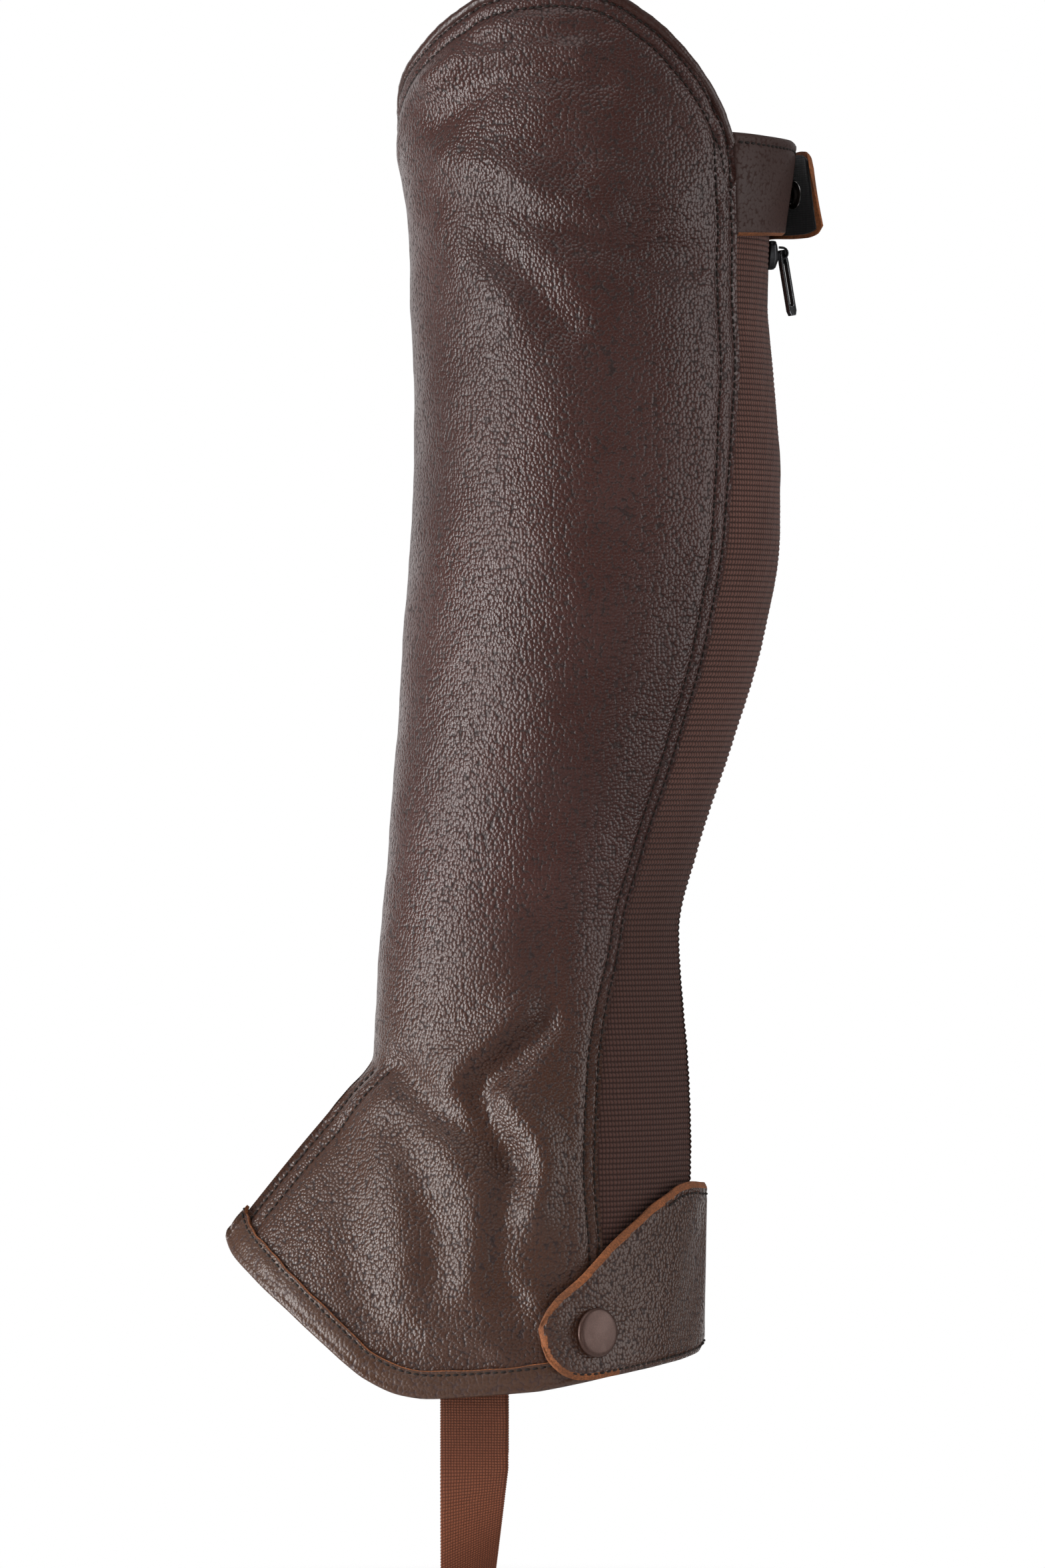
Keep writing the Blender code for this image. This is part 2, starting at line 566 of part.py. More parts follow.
def top_tab_face(off):
    """One face of the top tab: hugging the inner leather, then sprung away from the zip."""
    share = np.linspace(0.0, 1.0, 5)[:, None]
    top, foot = TOP_TAB_HEIGHTS
    root = np.array(TOP_TAB_ROOT)[None, :]
    held = moved(root + 0 * share, top + (foot - top) * share + 0 * root, off + 0 * share * root)
    free = np.array(TOP_TAB_FREE)
    upper = np.stack([free[:, 0], free[:, 1], free[:, 4]], axis=1)
    lower = np.stack([free[:, 2], free[:, 3], free[:, 5]], axis=1)
    sprung = upper + (lower - upper) * share[..., None]
    along = np.gradient(sprung, axis=1)
    side = np.cross(along, (0.0, 0.0, -1.0))
    side /= np.linalg.norm(side, axis=-1, keepdims=True)
    return np.concatenate([held, sprung + side * (off - TOP_TAB_OFF)], axis=1)


def add_tab_layer(name, low, high, colour):
    """One layer of the top tab between two distances from the leather."""
    outer, inner = top_tab_face(high), top_tab_face(low)
    rows, columns = outer.shape[:2]
    add_wall(name, outer.reshape(-1, 3), inner.reshape(-1, 3), grid_faces(rows, columns), colour)


def add_ankle_tab():
    columns = np.array([row[0] for row in ANKLE_TAB])
    turn, height = between(columns, 6, "top", "foot", ANKLE_TAB, ANKLE_TAB_COLUMNS)
    add_sheet("ankle_tab", turn, height, 0 * turn + ANKLE_TAB_OFF + LEATHER, LEATHER, "leather")


def add_button(name, centre, axis, profile, colour):
    """A turned piece whose profile runs from its crown to its base."""
    axis = axis / np.linalg.norm(axis)
    side = np.cross(axis, (0.0, 0.0, 1.0))
    side /= np.linalg.norm(side)
    other = np.cross(axis, side)
    count = 20
    points = [centre + axis * profile[0][1]]
    for radius, rise in profile[1:-1]:
        for k in range(count):
            a = 2 * math.pi * k / count
            points.append(centre + axis * rise + radius * (math.cos(a) * side + math.sin(a) * other))
    points.append(centre + axis * profile[-1][1])
    faces = []
    rings = len(profile) - 2
    for k in range(count):
        m = (k + 1) % count
        faces.append((0, 1 + k, 1 + m))
        for r in range(rings - 1):
            a = 1 + r * count
            faces.append((a + k, a + count + k, a + count + m, a + m))
        a = 1 + (rings - 1) * count
        faces.append((a + k, len(points) - 1, a + m))
    add_object(name, points, faces, colour)


def add_zip_tapes():
    """Two tapes side by side, the inner one running under the inner leather."""
    levels = np.linspace(ZIP_TOP, ZIP_FOOT, 40)
    for name, start, end, strips in (("zip_tape_outer", ZIP_SIDE - 0.5 * GAP, ZIP_TAPE_START, 2),
                                     ("zip_tape_inner", ZIP_TAPE_END, ZIP_SIDE + 0.5 * GAP, 3)):
        side, height = np.meshgrid(np.linspace(start, end, strips + 1), levels)
        turn = back_turn(side, height)
        add_sheet(name, turn, height, 0 * turn - ZIP_DEPTH, TAPE, "zip_tape")


def zip_frame(height, off):
    """A place on the zip's centre line with its outward and sideways directions."""
    turn = back_turn(ZIP_SIDE, np.array(height))
    place = moved(turn, np.array(height), np.array(off))
    out = outward(turn, np.array(height), skin)
    side = np.cross((0.0, 0.0, 1.0), out)
    side /= np.linalg.norm(side)
    return place, out, side


def add_slider():
    """The zip's slider, a low body that tapers towards its foot."""
    place, out, side = zip_frame(SLIDER_TOP - 0.5 * SLIDER_LENGTH, -LEATHER)
    up = np.cross(out, side)
    sections = []
    for along, width, thick in SLIDER_SHAPE:
        mid = place + up * along * SLIDER_LENGTH
        sections.append([mid + side * width, mid + side * width + out * 0.6 * thick,
                         mid + side * 0.6 * width + out * thick, mid - side * 0.6 * width + out * thick,
                         mid - side * width + out * 0.6 * thick, mid - side * width])
    add_loft("zip_slider", sections, "zip_metal")


def add_bridge():
    """The small arch on the slider that the pull hangs from."""
    place, out, side = zip_frame(HINGE_HEIGHT, HINGE_OFF)
    up = np.cross(out, side)
    turns = np.radians(np.linspace(0.0, 180.0, 9))
    arms = [(up, -1.1)] + [(math.cos(a) * up + math.sin(a) * out, 0.0) for a in turns] + [(-up, -1.1)]
    half = 0.5 * BRIDGE_WIDTH * side
    low, high = BRIDGE_RADII
    sections = []
    for arm, drop in arms:
        base = place + out * drop
        sections.append([base + arm * low + half, base + arm * high + half,
                         base + arm * high - half, base + arm * low - half])
    add_loft("zip_bridge", sections, "zip_metal")


def add_pull():
    """The zip's pull, a slim frame hanging from the slider and leaning away from the leg."""
    place, out, side = zip_frame(HINGE_HEIGHT, HINGE_OFF)
    lean = math.radians(PULL_LEAN)
    down = -math.cos(lean) * np.cross(out, side) + math.sin(lean) * out
    face = np.cross(side, down)
    points = []
    for level in (0.5, -0.5):
        for outline in (PULL_OUTLINE, PULL_WINDOW):
            ring = [(across, along) for across, along in outline]
            ring += [(-across, along) for across, along in reversed(outline)]
            lift = place + face * level * PULL_WALL
            points += [lift + side * across + down * along for across, along in ring]
    count = 2 * len(PULL_OUTLINE)
    faces = []
    for k in range(count):
        m = (k + 1) % count
        faces.append((k, m, count + m, count + k))
        faces.append((2 * count + m, 2 * count + k, 3 * count + k, 3 * count + m))
        faces.append((m, k, 2 * count + k, 2 * count + m))
        faces.append((count + k, count + m, 3 * count + m, 3 * count + k))
    add_object("zip_pull", points, faces, "zip_metal", smooth_shaded=False)


def add_strap():
    """The stirrup strap, a loop from the outer hem under the foot to the inner hem."""
    straight = np.linspace(STRAP_TOP, STRAP_BEND, 4)[:-1]
    bend = np.radians(np.linspace(0.0, 180.0, 17))
    sections = []

    def station(share_y, share_z, grow):
        section = []
        for x, edge, foot, drift, order in (
                (STRAP_FRONT_X, STRAP_FRONT_SPAN, STRAP_FRONT_FOOT, 0.0, (1, 0)),
                (STRAP_REAR_X, STRAP_REAR_SPAN, STRAP_REAR_FOOT, STRAP_REAR_DRIFT, (0, 1))):
            for layer in order:
                span = edge + layer * STRAP_WALL
                depth = (STRAP_BEND - foot) + layer * STRAP_WALL
                section.append((x + drift * share_z, -span * share_y, STRAP_BEND - depth * share_z + grow))
        return section

    for level in straight:
        sections.append(station(1.0, 0.0, level - STRAP_BEND))
    for a in bend:
        sections.append(station(math.cos(a), math.sin(a), 0.0))
    for level in straight[::-1]:
        sections.append(station(-1.0, 0.0, level - STRAP_BEND))
    add_loft("stirrup_strap", sections, "strap")


def build():
    for item in list(bpy.data.objects):
        bpy.data.objects.remove(item, do_unlink=True)
    add_leather()
    add_elastic()
    add_hem_binding()
    add_piping()
    add_zip_tapes()
    add_slider()
    add_bridge()
    add_pull()
    add_top_patch()
    leather_off = TOP_TAB_OFF + LINING + GAP
    add_tab_layer("top_tab_lining", TOP_TAB_OFF, TOP_TAB_OFF + LINING, "lining")
    add_tab_layer("top_tab", leather_off, leather_off + LEATHER, "leather")
    add_ankle_tab()
    cap = ((0.0, 2.3), (4.5, 2.2), (6.6, 1.8), (7.5, 1.0), (SNAP_RADIUS, 0.4), (7.2, 0.0), (0.0, 0.0))
    turn, height = ANKLE_SNAP
    place = moved(turn, height, np.array(ANKLE_TAB_OFF + LEATHER + GAP))
    add_button("ankle_snap_cap", place, outward(np.array(turn), np.array(height), skin), cap, "snap")
    add_strap()


build()
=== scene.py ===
import math

import bpy
import numpy as np
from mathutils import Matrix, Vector
from mathutils.kdtree import KDTree


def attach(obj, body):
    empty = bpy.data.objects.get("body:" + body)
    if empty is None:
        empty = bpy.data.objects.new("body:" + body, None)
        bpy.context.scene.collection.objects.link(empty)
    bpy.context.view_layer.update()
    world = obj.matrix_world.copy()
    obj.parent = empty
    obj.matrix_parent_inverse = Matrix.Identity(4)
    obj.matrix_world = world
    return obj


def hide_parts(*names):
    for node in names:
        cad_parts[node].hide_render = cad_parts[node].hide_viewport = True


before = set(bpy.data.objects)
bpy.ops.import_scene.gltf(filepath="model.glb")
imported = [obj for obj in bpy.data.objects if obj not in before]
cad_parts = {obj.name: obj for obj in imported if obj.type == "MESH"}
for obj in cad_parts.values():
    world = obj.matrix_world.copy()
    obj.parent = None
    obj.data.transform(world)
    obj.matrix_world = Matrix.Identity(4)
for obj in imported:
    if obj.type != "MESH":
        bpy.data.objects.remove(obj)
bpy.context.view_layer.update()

METRES = 0.001
PHOTO_HEIGHT = 2352
PHOTO_WIDTH = 1568
MM_PER_PIXEL = 0.21

# Wall thicknesses and the clearance kept between pieces.
LEATHER = 1.6
ELASTIC = 1.5
LINING = 0.8
TAPE = 1.0
GAP = 0.3

# The leg's sections, as in the solids: height, front, back, half width, centre, nose and heel.
FORM = (
    (172, -62.8, 61.5, 52, -2, 0.1, 0.05),
    (119, -62.2, 60.1, 53, -1, 0.1, 0.05),
    (88, -59.2, 56.5, 53, -0.7, 0.1, 0.05),
    (69, -58.6, 55.9, 53.1, -0.6, 0.1, 0.05),
    (46, -57.5, 57.8, 53.4, -0.4, 0.1, 0.05),
    (13, -57.3, 59.9, 53.8, 0, 0.1, 0.05),
    (-4, -58.4, 59.9, 53.7, 0, 0.1, 0.06),
    (-38, -60.9, 54.6, 51, -1, 0.11, 0.16),
    (-71, -63.2, 44.9, 46.5, -6, 0.11, 0.25),
    (-105, -65.9, 33.8, 42, -14, 0.12, 0.5),
    (-130, -68, 28.1, 39.5, -19, 0.12, 0.7),
    (-155, -69.7, 29.6, 39.1, -19, 0.14, 0.78),
    (-169, -70.4, 30.9, 39.3, -19, 0.2, 0.8),
    (-171, -71.2, 31, 39.5, -18.8, 0.3, 0.8),
    (-181, -79.6, 31.5, 40.1, -18.4, 0.7, 0.81),
    (-197, -93.2, 31.9, 41.3, -18, 0.95, 0.82),
    (-231, -120.5, 30.9, 43.2, -18, 0.97, 0.83),
    (-280, -160, 30.7, 44.5, -18, 1.0, 0.85),
)

# Outer rear seam: height and turn. Turn 0 is the back of the leg, 90 the outer side, 180 the shin.
SEAM = (
    (170, 44.4), (119, 44.4), (84, 38.9), (62, 38.5), (48, 39.2), (30, 42.6),
    (4, 46.2), (-31, 49), (-72, 51.1), (-100, 52.4), (-128, 54), (-156, 62.7),
    (-172, 66.1), (-202, 68.6), (-228, 66.2), (-240, 65.6), (-280, 65.6),
)
# Finished top edge, then finished hem: turn and height.
TOP = (
    (44, 118.6), (49.4, 128.9), (56.8, 139.2), (63.5, 146.8), (69.8, 152.9),
    (75.8, 157.5), (81.6, 161.3), (90, 164.5), (101.4, 165.6), (114, 164.6), (125.3, 162.1),
    (133, 158.5), (141.7, 154.1), (152.7, 147.6), (165, 141), (173, 136),
    (180, 130.2), (200, 121), (225, 115), (270, 112.5), (320, 116), (360, 118.5),
)
HEM = (
    (0, -262), (22, -263.3), (37, -264.6), (57, -266.7), (73, -269.2), (87.5, -271.5),
    (95, -272.6), (102.6, -273.9), (108.4, -274.5), (111.8, -273.6), (117.8, -268.8),
    (121.6, -264.2), (125.8, -258.9), (130.7, -253.3), (136.3, -247.6), (142.7, -242.3),
    (151.5, -236.2), (160.9, -231.4), (170, -227.6), (180, -225),
)

# Folds in side view: rise (negative for a valley), half breadth, then X and height.
OUTER_FOLDS = (
    (1.9, 4, ((-50, 137), (-42, 141.6), (-33, 143), (-20, 144.3), (-6, 144.5))),
    (-1.7, 3.2, ((-38, 146.4), (-30, 147.4), (-21, 148.4), (-10, 149.4), (1, 149.6))),
    (-3.3, 4.6, ((-16.2, -158.1), (-26.7, -168.4), (-34.4, -174.5), (-37, -179.4),
                 (-35.5, -184.2), (-32.8, -189.2), (-29.2, -195.3), (-25.6, -202.2))),
    (-1.9, 5.2, ((-26.5, -208.5), (-28.8, -213.6), (-29.8, -220.7), (-30.7, -229.3), (-29, -235.2),
                 (-25.2, -242))),
    (2.8, 5.8, ((-27, -182), (-21.5, -187.5), (-17.5, -193), (-15.5, -200), (-16.5, -207),
                (-19.5, -216.0))),
    (2, 5.5, ((-23, -154), (-33.5, -162.5), (-44, -170), (-46.5, -176))),
    (-2.2, 5, ((-62, -172), (-55, -181), (-45, -189), (-37, -195), (-31, -199))),
    (1.8, 7.6, ((-46, -196.4), (-41, -206.6), (-36.8, -215.5), (-36, -225.6), (-40, -238))),
    (-1.4, 6, ((-64, -190), (-57.5, -204), (-54, -213), (-50.8, -222), (-49, -236))),
    (1.2, 7, ((-66.5, -186), (-64.5, -205), (-62, -225), (-60, -245))),
    (-1.3, 6.5, ((-80, -193), (-79, -213), (-76.5, -235), (-72, -247))),
    (-1.4, 6.5, ((-15.5, -128), (-15.8, -141), (-15.8, -151))),
    (1.5, 4.5, ((-52.5, -254.6), (-36.3, -255.8), (-30.7, -259))),
    (1.3, 4.5, ((-26, -236), (-20, -242), (-15, -250))),
    (1.6, 6, ((-51.2, 136.2), (-41.8, 144.2), (-25.6, 149), (-12.2, 149.6), (-1.3, 145.6))),
    (-1.8, 5.5, ((-48.5, 124), (-32.3, 136), (-16.2, 139), (0, 135))),
    (2, 6.5, ((-46.5, 112.1), (-32.3, 107.8), (-21.6, 100.9), (-14.9, 97.4), (2, 95))),
    (-2.2, 6, ((-31.1, 99.1), (-20.2, 93.8), (-6.7, 88.4), (1.3, 84.9), (14.9, 80.5), (30, 79.5))),
    (1.4, 6, ((1.5, 106.4), (12.9, 101.9), (24, 98.5))),
    (1.4, 6.5, ((-46, 88.2), (-36.5, 76), (-27.1, 68))),
    (-1.6, 6.5, ((-33.1, 84.9), (-19.6, 70), (-10.2, 59.1))),
)
INNER_FOLDS = (
    (-2.6, 4.5, ((-8, -150), (-16, -166), (-29, -176), (-31, -188), (-22, -203))),
    (1.8, 5, ((-24, -178), (-19, -190), (-10, -201))),
    (-1.2, 6, ((-62, -186), (-55, -210), (-44, -236))),
    (1.1, 6, ((-72, -182), (-70, -205), (-65, -245))),
    (-1.3, 6, ((-38, 84), (-20, 76), (2, 70))),
    (1.1, 6, ((-36, 96), (-16, 90), (8, 82))),
)

# The hem's dip on the inner side: rise, turn and half breadth.
INNER_DIP = (-1.8, 246.0, 26.0)

# How the form's sections sharpen with nose, the reach of the normals' probe, how fast folds fade.
NOSE_ALONG = 0.18
NOSE_ACROSS = 0.74
PROBE = 0.4
FOLD_FADE = 6.0

# Leather grid: distances past the rear seam and below the top edge, then the spacing.
SEAM_STEPS = (0.0, 0.5, 1.05, 1.6, 2.7, 3.9, 4.8, 5.7, 7.0, 8.6)
REAR_STEPS = (8.6, 6.8, 5.4, 4.5, 3.4, 2.2, 1.2, 0.6, 0.0)
TOP_STEPS = (1.3, 1.9, 2.7, 3.5, 4.3, 5.5, 6.8, 7.6, 8.4, 9.3, 10.3)
SIDE_END = 150.0
SIDE_COLUMNS = 67
TOE_COLUMNS = 24
INNER_COLUMNS = 53
REAR_SIDE = 12.2
BANDS = ((92.0, 26), (-120.0, 96), (-170.0, 38), (-212.0, 32))
FOOT_ROWS = 36
BAND_ROWS = 6
LEATHER_COLUMNS = (len(SEAM_STEPS), SIDE_COLUMNS, 2 * TOE_COLUMNS, INNER_COLUMNS, len(REAR_STEPS))
LEATHER_STEP = 2
TOP_LEVEL = 115.0
HEM_LEVEL = -262.0
FOOT_LEVEL = -270.0
FOOT_STRETCH = 1.15
TOE_SLOPE = 0.775
SLIT_TOP = -170.0
SLIT_EDGE = 1.75
SLIT_REACH = 45.0

# Spacing of the seam's rows at a height, as a multiple of what it is at the ankle.
SEAM_SPREAD = ((120.0, 1.7), (60.0, 1.75), (0.0, 1.3), (-60.0, 1.15), (-130.0, 1.0), (-270.0, 1.0))

# Stitch rows: distances from the edges they follow, and the depth of their grooves.
SEAM_ROWS = (1.05, 4.8)
TOP_ROWS = (3.5, 7.6)
TOE_ROWS = (1.7, 5.2)
REAR_ROWS = (1.2, 4.5)
GROOVE = 0.75
PATCH_ROW = 3.0
ANKLE_ROWS = (1.8, 3.6)

# Where the rows run, in turns or heights, and the step along them.
SEAM_ROW_TOP = 119.0
TOE_ROW_FOOT = -222.0
TOP_ROW_SPAN = (47.0, 340.0)
HEM_ROW_SPAN = (23.0, 338.0)
PATCH_ROW_SPAN = (36.0, -5.0)
ANKLE_ROW_SPANS = ((80.0, -28.0), (40.0, -28.0))
ROW_STEP = 0.8

# One stitch, with the place, width and drop of each of its rings.
STITCH_PITCH = 2.5
STITCH_LENGTH = 1.9
STITCH_RADIUS = 0.38
STITCH_SHAPE = ((-1.0, 0.25, -1.0), (-0.8, 0.8, -0.35), (-0.3, 1.0, 0.0), (0.3, 1.0, 0.0),
                (0.8, 0.8, -0.35), (1.0, 0.25, -1.0))

# Swells between the rows: rise, distance from the edge and half breadth.
SEAM_SWELLS = ((0.25, 2.9, 1.2), (0.3, 8.0, 3.0))
TOP_SWELLS = ((0.3, 5.0, 1.3), (0.8, 12.0, 4.0))
TOE_SWELLS = ((0.2, 3.5, 1.2), (0.35, 9.0, 3.0))

# Ribbed elastic: each rib's steps and their rise, and how the ribs grow between two heights.
RIB_PITCH = 1.68
RIB = ((0.0, -0.3), (0.25, -0.12), (0.5, 0.0), (0.75, -0.12))
RIB_FADE = ((-90.0, 0.0), (1.5, 0.8))
ELASTIC_UNDER = 6.0
ELASTIC_REAR_SIDE = 2.7
ELASTIC_TOP = 117.6
ELASTIC_DEPTH = LEATHER + 1.5 * GAP

# Edge pieces.
HEM_BAND = 8.6
HEM_ROW = 1.3
HEM_WALL = 1.2
HEM_START = 22.0
BINDING_RAW_SIDES = (1, 2)
PIPING_RADIUS = 1.35
PIPING_OVAL = 1.15

# Zip: distances towards the inner side from the back of the leg, and its ends.
ZIP_SIDE = 7.6
ZIP_TAPE_START = 3.0
ZIP_TAPE_END = 16.0
ZIP_TOP = 117.6
ZIP_FOOT = -258.0
ZIP_DEPTH = LEATHER + 2 * GAP
TOOTH_PITCH = 1.5
TOOTH_SHAPE = ((-0.55, 0.28, 0.75), (0.1, 0.34, 1.05), (1.0, 0.36, 1.2), (1.9, 0.42, 1.0), (2.3, 0.4, 0.5))
TOOTH_RING = ((-1.0, 0.0), (1.0, 0.0), (0.9, 0.7), (0.45, 1.0), (-0.45, 1.0), (-0.9, 0.7))
TEETH_FADE = ((-165.0, -150.0), (1.0, 0.62))
SLIDER_TOP = 88.2
SLIDER_LENGTH = 9.0
SLIDER_SHAPE = ((0.5, 3.4, 2.2), (0.35, 4.4, 2.6), (-0.1, 3.6, 3.4), (-0.42, 2.6, 2.6), (-0.5, 2.2, 2.0))
SLIDER_RING = ((1.0, 0.0), (1.0, 0.6), (0.6, 1.0), (-0.6, 1.0), (-1.0, 0.6), (-1.0, 0.0))
HINGE_HEIGHT = 84.6
HINGE_OFF = 3.1
BRIDGE_RADII = (1.35, 2.15)
BRIDGE_WIDTH = 1.4
BRIDGE_DROP = -1.1
PULL_WALL = 1.3
PULL_LEAN = 12.0
PULL_TWIST = 38.0
PULL_OUTLINE = ((1.3, -1.0), (2.0, -0.2), (2.5, 3.0), (2.5, 18.6), (1.6, 20.0))
PULL_WINDOW = ((1.1, 1.0), (1.1, 2.0), (1.3, 4.0), (1.3, 16.0), (0.9, 17.0))

# Top patch: turn, top height, foot height and the stand-off of its outer face.
PATCH = (
    (-6, 118.4, 90.4, 2.9), (0, 118.6, 89.8, 2.9), (8, 119, 89.2, 2.8), (16, 119.2, 88.8, 2.3),
    (24, 119.4, 88.4, 1.5), (32, 119.8, 88, 0.5), (37.6, 120, 87.8, -0.45),
)

# Grid rows and columns of the patch, and where its raw foot edge starts and ends.
PATCH_GRID = (61, 81)
PATCH_RAW_ROW = 50
PATCH_RAW_END = 36.5

# Top tab: root turns, then X and Y along its top edge, X and Y along its foot edge, heights.
TOP_TAB_ROOT = (312.0, 322.0, 332.0, 342.0)
TOP_TAB_HEIGHTS = (116.0, 89.4)
TOP_TAB_OFF = 0.9
TOP_TAB_LEATHER_OFF = TOP_TAB_OFF + LINING + GAP
LINING_INSET = 2
LINING_SHORT = 9
TOP_TAB_FREE = (
    (61.6, 9.6, 58.4, 10.2, 116.2, 89), (63.2, 5.6, 61.4, 5.4, 116.4, 88.8),
    (64.4, 2, 65, 1.2, 116.2, 88.9), (65.4, -1, 68.4, -2.4, 114.9, 90),
    (65.9, -2.6, 70, -4.4, 111, 92.4),
)
TOP_TAB_GRID = (49, 97)
SNAP_GRID = (41, 81)
TOP_TAB_SNAP = (20, 50)
SOCKET_PROFILE = ((0.2, 0.3), (1.3, 0.3), (1.5, 0.9), (1.9, 1.2), (2.5, 1.15), (2.9, 0.8), (3.2, 0.6),
                  (4.0, 0.5), (4.4, 0.3), (4.5, 0.1), (4.4, 0.0), (0.2, 0.0))
TAB_CAP_PROFILE = ((0.2, 0.8), (2.5, 0.78), (3.6, 0.7), (4.4, 0.5), (4.7, 0.2), (4.4, 0.0), (0.2, 0.0))

# Ankle tab: turn, top height and foot height.
ANKLE_TAB = (
    (-30, -212, -256), (-15, -209.5, -258.5), (0, -208.5, -260.2), (12, -208.3, -261.8),
    (22.6, -207.9, -262.8), (31.4, -208.7, -263.8), (40.1, -211.7, -264.6), (47.5, -214.6, -265.4),
    (54, -218.8, -266.1), (60.3, -222.8, -266.9), (66, -227, -267.6), (71.2, -231.6, -268.3),
    (76.6, -236.4, -268.4), (81.6, -240.2, -267.2), (85.6, -243.4, -264.4), (88.1, -247, -261.2),
    (89.4, -251.6, -257.2),
)
ANKLE_TAB_OFF = HEM_WALL + 2 * GAP + 0.1
ANKLE_SNAP = (71.4, -253.7)
SNAP_PROFILE = ((0.2, 2.05), (2.5, 2.0), (4.6, 1.88), (6.0, 1.75), (6.8, 1.62), (7.3, 1.4), (7.62, 1.1),
                (7.75, 0.7), (7.7, 0.3), (7.4, 0.0), (6.6, -0.2), (0.2, -0.2))
SNAP_TILT = 0.24

# Stirrup strap: depth of the front and the rear edge of the loop, and where it is sewn in.
STRAP_WALL = 1.4
STRAP_TOP = -262.0
STRAP_BEND = -296.0
STRAP_FRONT_SPAN = 36.4
STRAP_REAR_SPAN = 39.6
STRAP_FRONT_X = -48.6
STRAP_REAR_X = -28.0
STRAP_FRONT_FOOT = -350.0
STRAP_REAR_FOOT = -334.0
STRAP_REAR_DRIFT = -4.5
STRAP_RIB = 0.84
STRAP_WIDTH = 20.6

# Grain leather: pebbles to a metre, their warp and depth in metres, and its tone at the foot.
PEBBLE_SCALE = 870.0
PEBBLE_WARP = 0.0007
PEBBLE_DEPTH = 0.00036
FOOT_TONE = (1.04, 1.12, 0.86)

# Camera and floor; the floor's fade and the place that the lights face are in metres.
CAMERA_DISTANCE = 3200.0
AXIS_PIXEL = (895, 780)
FLOOR_PLACE = (-30.0, 0.0, -352.0)
FLOOR_RINGS = (320.0, 200.0, 100.0, 0.1)
FLOOR_FADE = (0.13, 0.31)
LIT_PLACE = (-0.02, 0.0, -0.09)

# Lights: name, turn, rise, distance, width, height, power and whether gloss mirrors it.
LIGHTS = (
    ("key", -66, -3, 1.3, 0.34, 1.1, 16, True), ("fill", 77, 3, 1.5, 1.2, 1.4, 11.5, True),
    ("front", 10, 4, 1.6, 1, 1.2, 2.4, False), ("low", -5, -16, 1, 0.7, 0.25, 3, False),
    ("ankle", -87, -25, 0.9, 0.32, 0.36, 3.6, True), ("foot", 28, -17, 1.2, 0.5, 0.35, 0.8, True),
    ("rim_left", -150, 4, 1.4, 0.6, 1.5, 2, True), ("rim_right", 150, 4, 1.4, 0.4, 1.5, 2.5, True),
    ("top", -20, 62, 1.4, 0.9, 0.9, 4, True),
)

# No points, for what starts empty.
NO_POINTS = np.empty((0, 3))


def curves(rows):
    """For each later column of a table, a monotone cubic along the table's first column."""
    table = np.array(rows, dtype=float)
    if table[0, 0] > table[-1, 0]:
        table = table[::-1]
    x, step = table[:, 0], np.diff(table[:, 0])

    def curve(y):
        slope = np.diff(y) / step
        rate = np.concatenate([slope[:1], np.zeros(len(x) - 2), slope[-1:]])
        for k in range(1, len(x) - 1):
            if slope[k - 1] * slope[k] > 0:
                before, after = 2 * step[k] + step[k - 1], step[k] + 2 * step[k - 1]
                rate[k] = (before + after) / (before / slope[k - 1] + after / slope[k])

        def value(at):
            at = np.clip(np.asarray(at, dtype=float), x[0], x[-1])
            k = np.clip(np.searchsorted(x, at) - 1, 0, len(x) - 2)
            t = (at - x[k]) / step[k]
            return (y[k] * (1 + 2 * t) * (1 - t) ** 2 + y[k + 1] * t * t * (3 - 2 * t)
                    + step[k] * (rate[k] * t * (1 - t) ** 2 - rate[k + 1] * t * t * (1 - t)))

        return value

    return [curve(y) for y in table.T[1:]]


front_at, back_at, half_width_at, centre_at, nose_at, heel_at = curves(FORM)
patch_top_at, patch_foot_at, patch_off_at = curves(PATCH)
ankle_top_at, ankle_foot_at = curves(ANKLE_TAB)
(seam_at,), (spread_at,), (top_at,), (hem_at,) = map(curves, (SEAM, SEAM_SPREAD, TOP, HEM))


def signed_power(value, exponent):
    return np.sign(value) * np.abs(value) ** exponent


def bell(distance, half_breadth):
    return np.exp(-(distance / half_breadth) ** 2)


def swells(distance, *shapes):
    """Sum of rounded swells, each given by its rise, place and half breadth."""
    return sum(rise * bell(distance - place, half_breadth) for rise, place, half_breadth in shapes)


def grooves(distance, rows, half_breadth):
    """The stitch grooves at distances from an edge."""
    return swells(distance, *((-GROOVE, row, half_breadth) for row in rows))


def unit(vectors):
    return vectors / np.linalg.norm(vectors, axis=-1, keepdims=True)


def form(turn, height):
    """Points of the smooth leg form."""
    turn = np.radians(np.asarray(turn, dtype=float))
    height = np.asarray(height, dtype=float)
    across, along = np.sin(turn), np.cos(turn)
    to_front = along < 0
    centre, nose = centre_at(height), nose_at(height)
    reach = np.where(to_front, centre - front_at(height), back_at(height) - centre)
    x = centre + reach * signed_power(along, np.where(to_front, 1 + NOSE_ALONG * nose, 1.0))
    power = np.where(to_front, 1 + NOSE_ACROSS * nose, 1 + heel_at(height))
    y = -half_width_at(height) * signed_power(across, power)
    return np.stack([x, y, height + 0 * x], axis=-1)


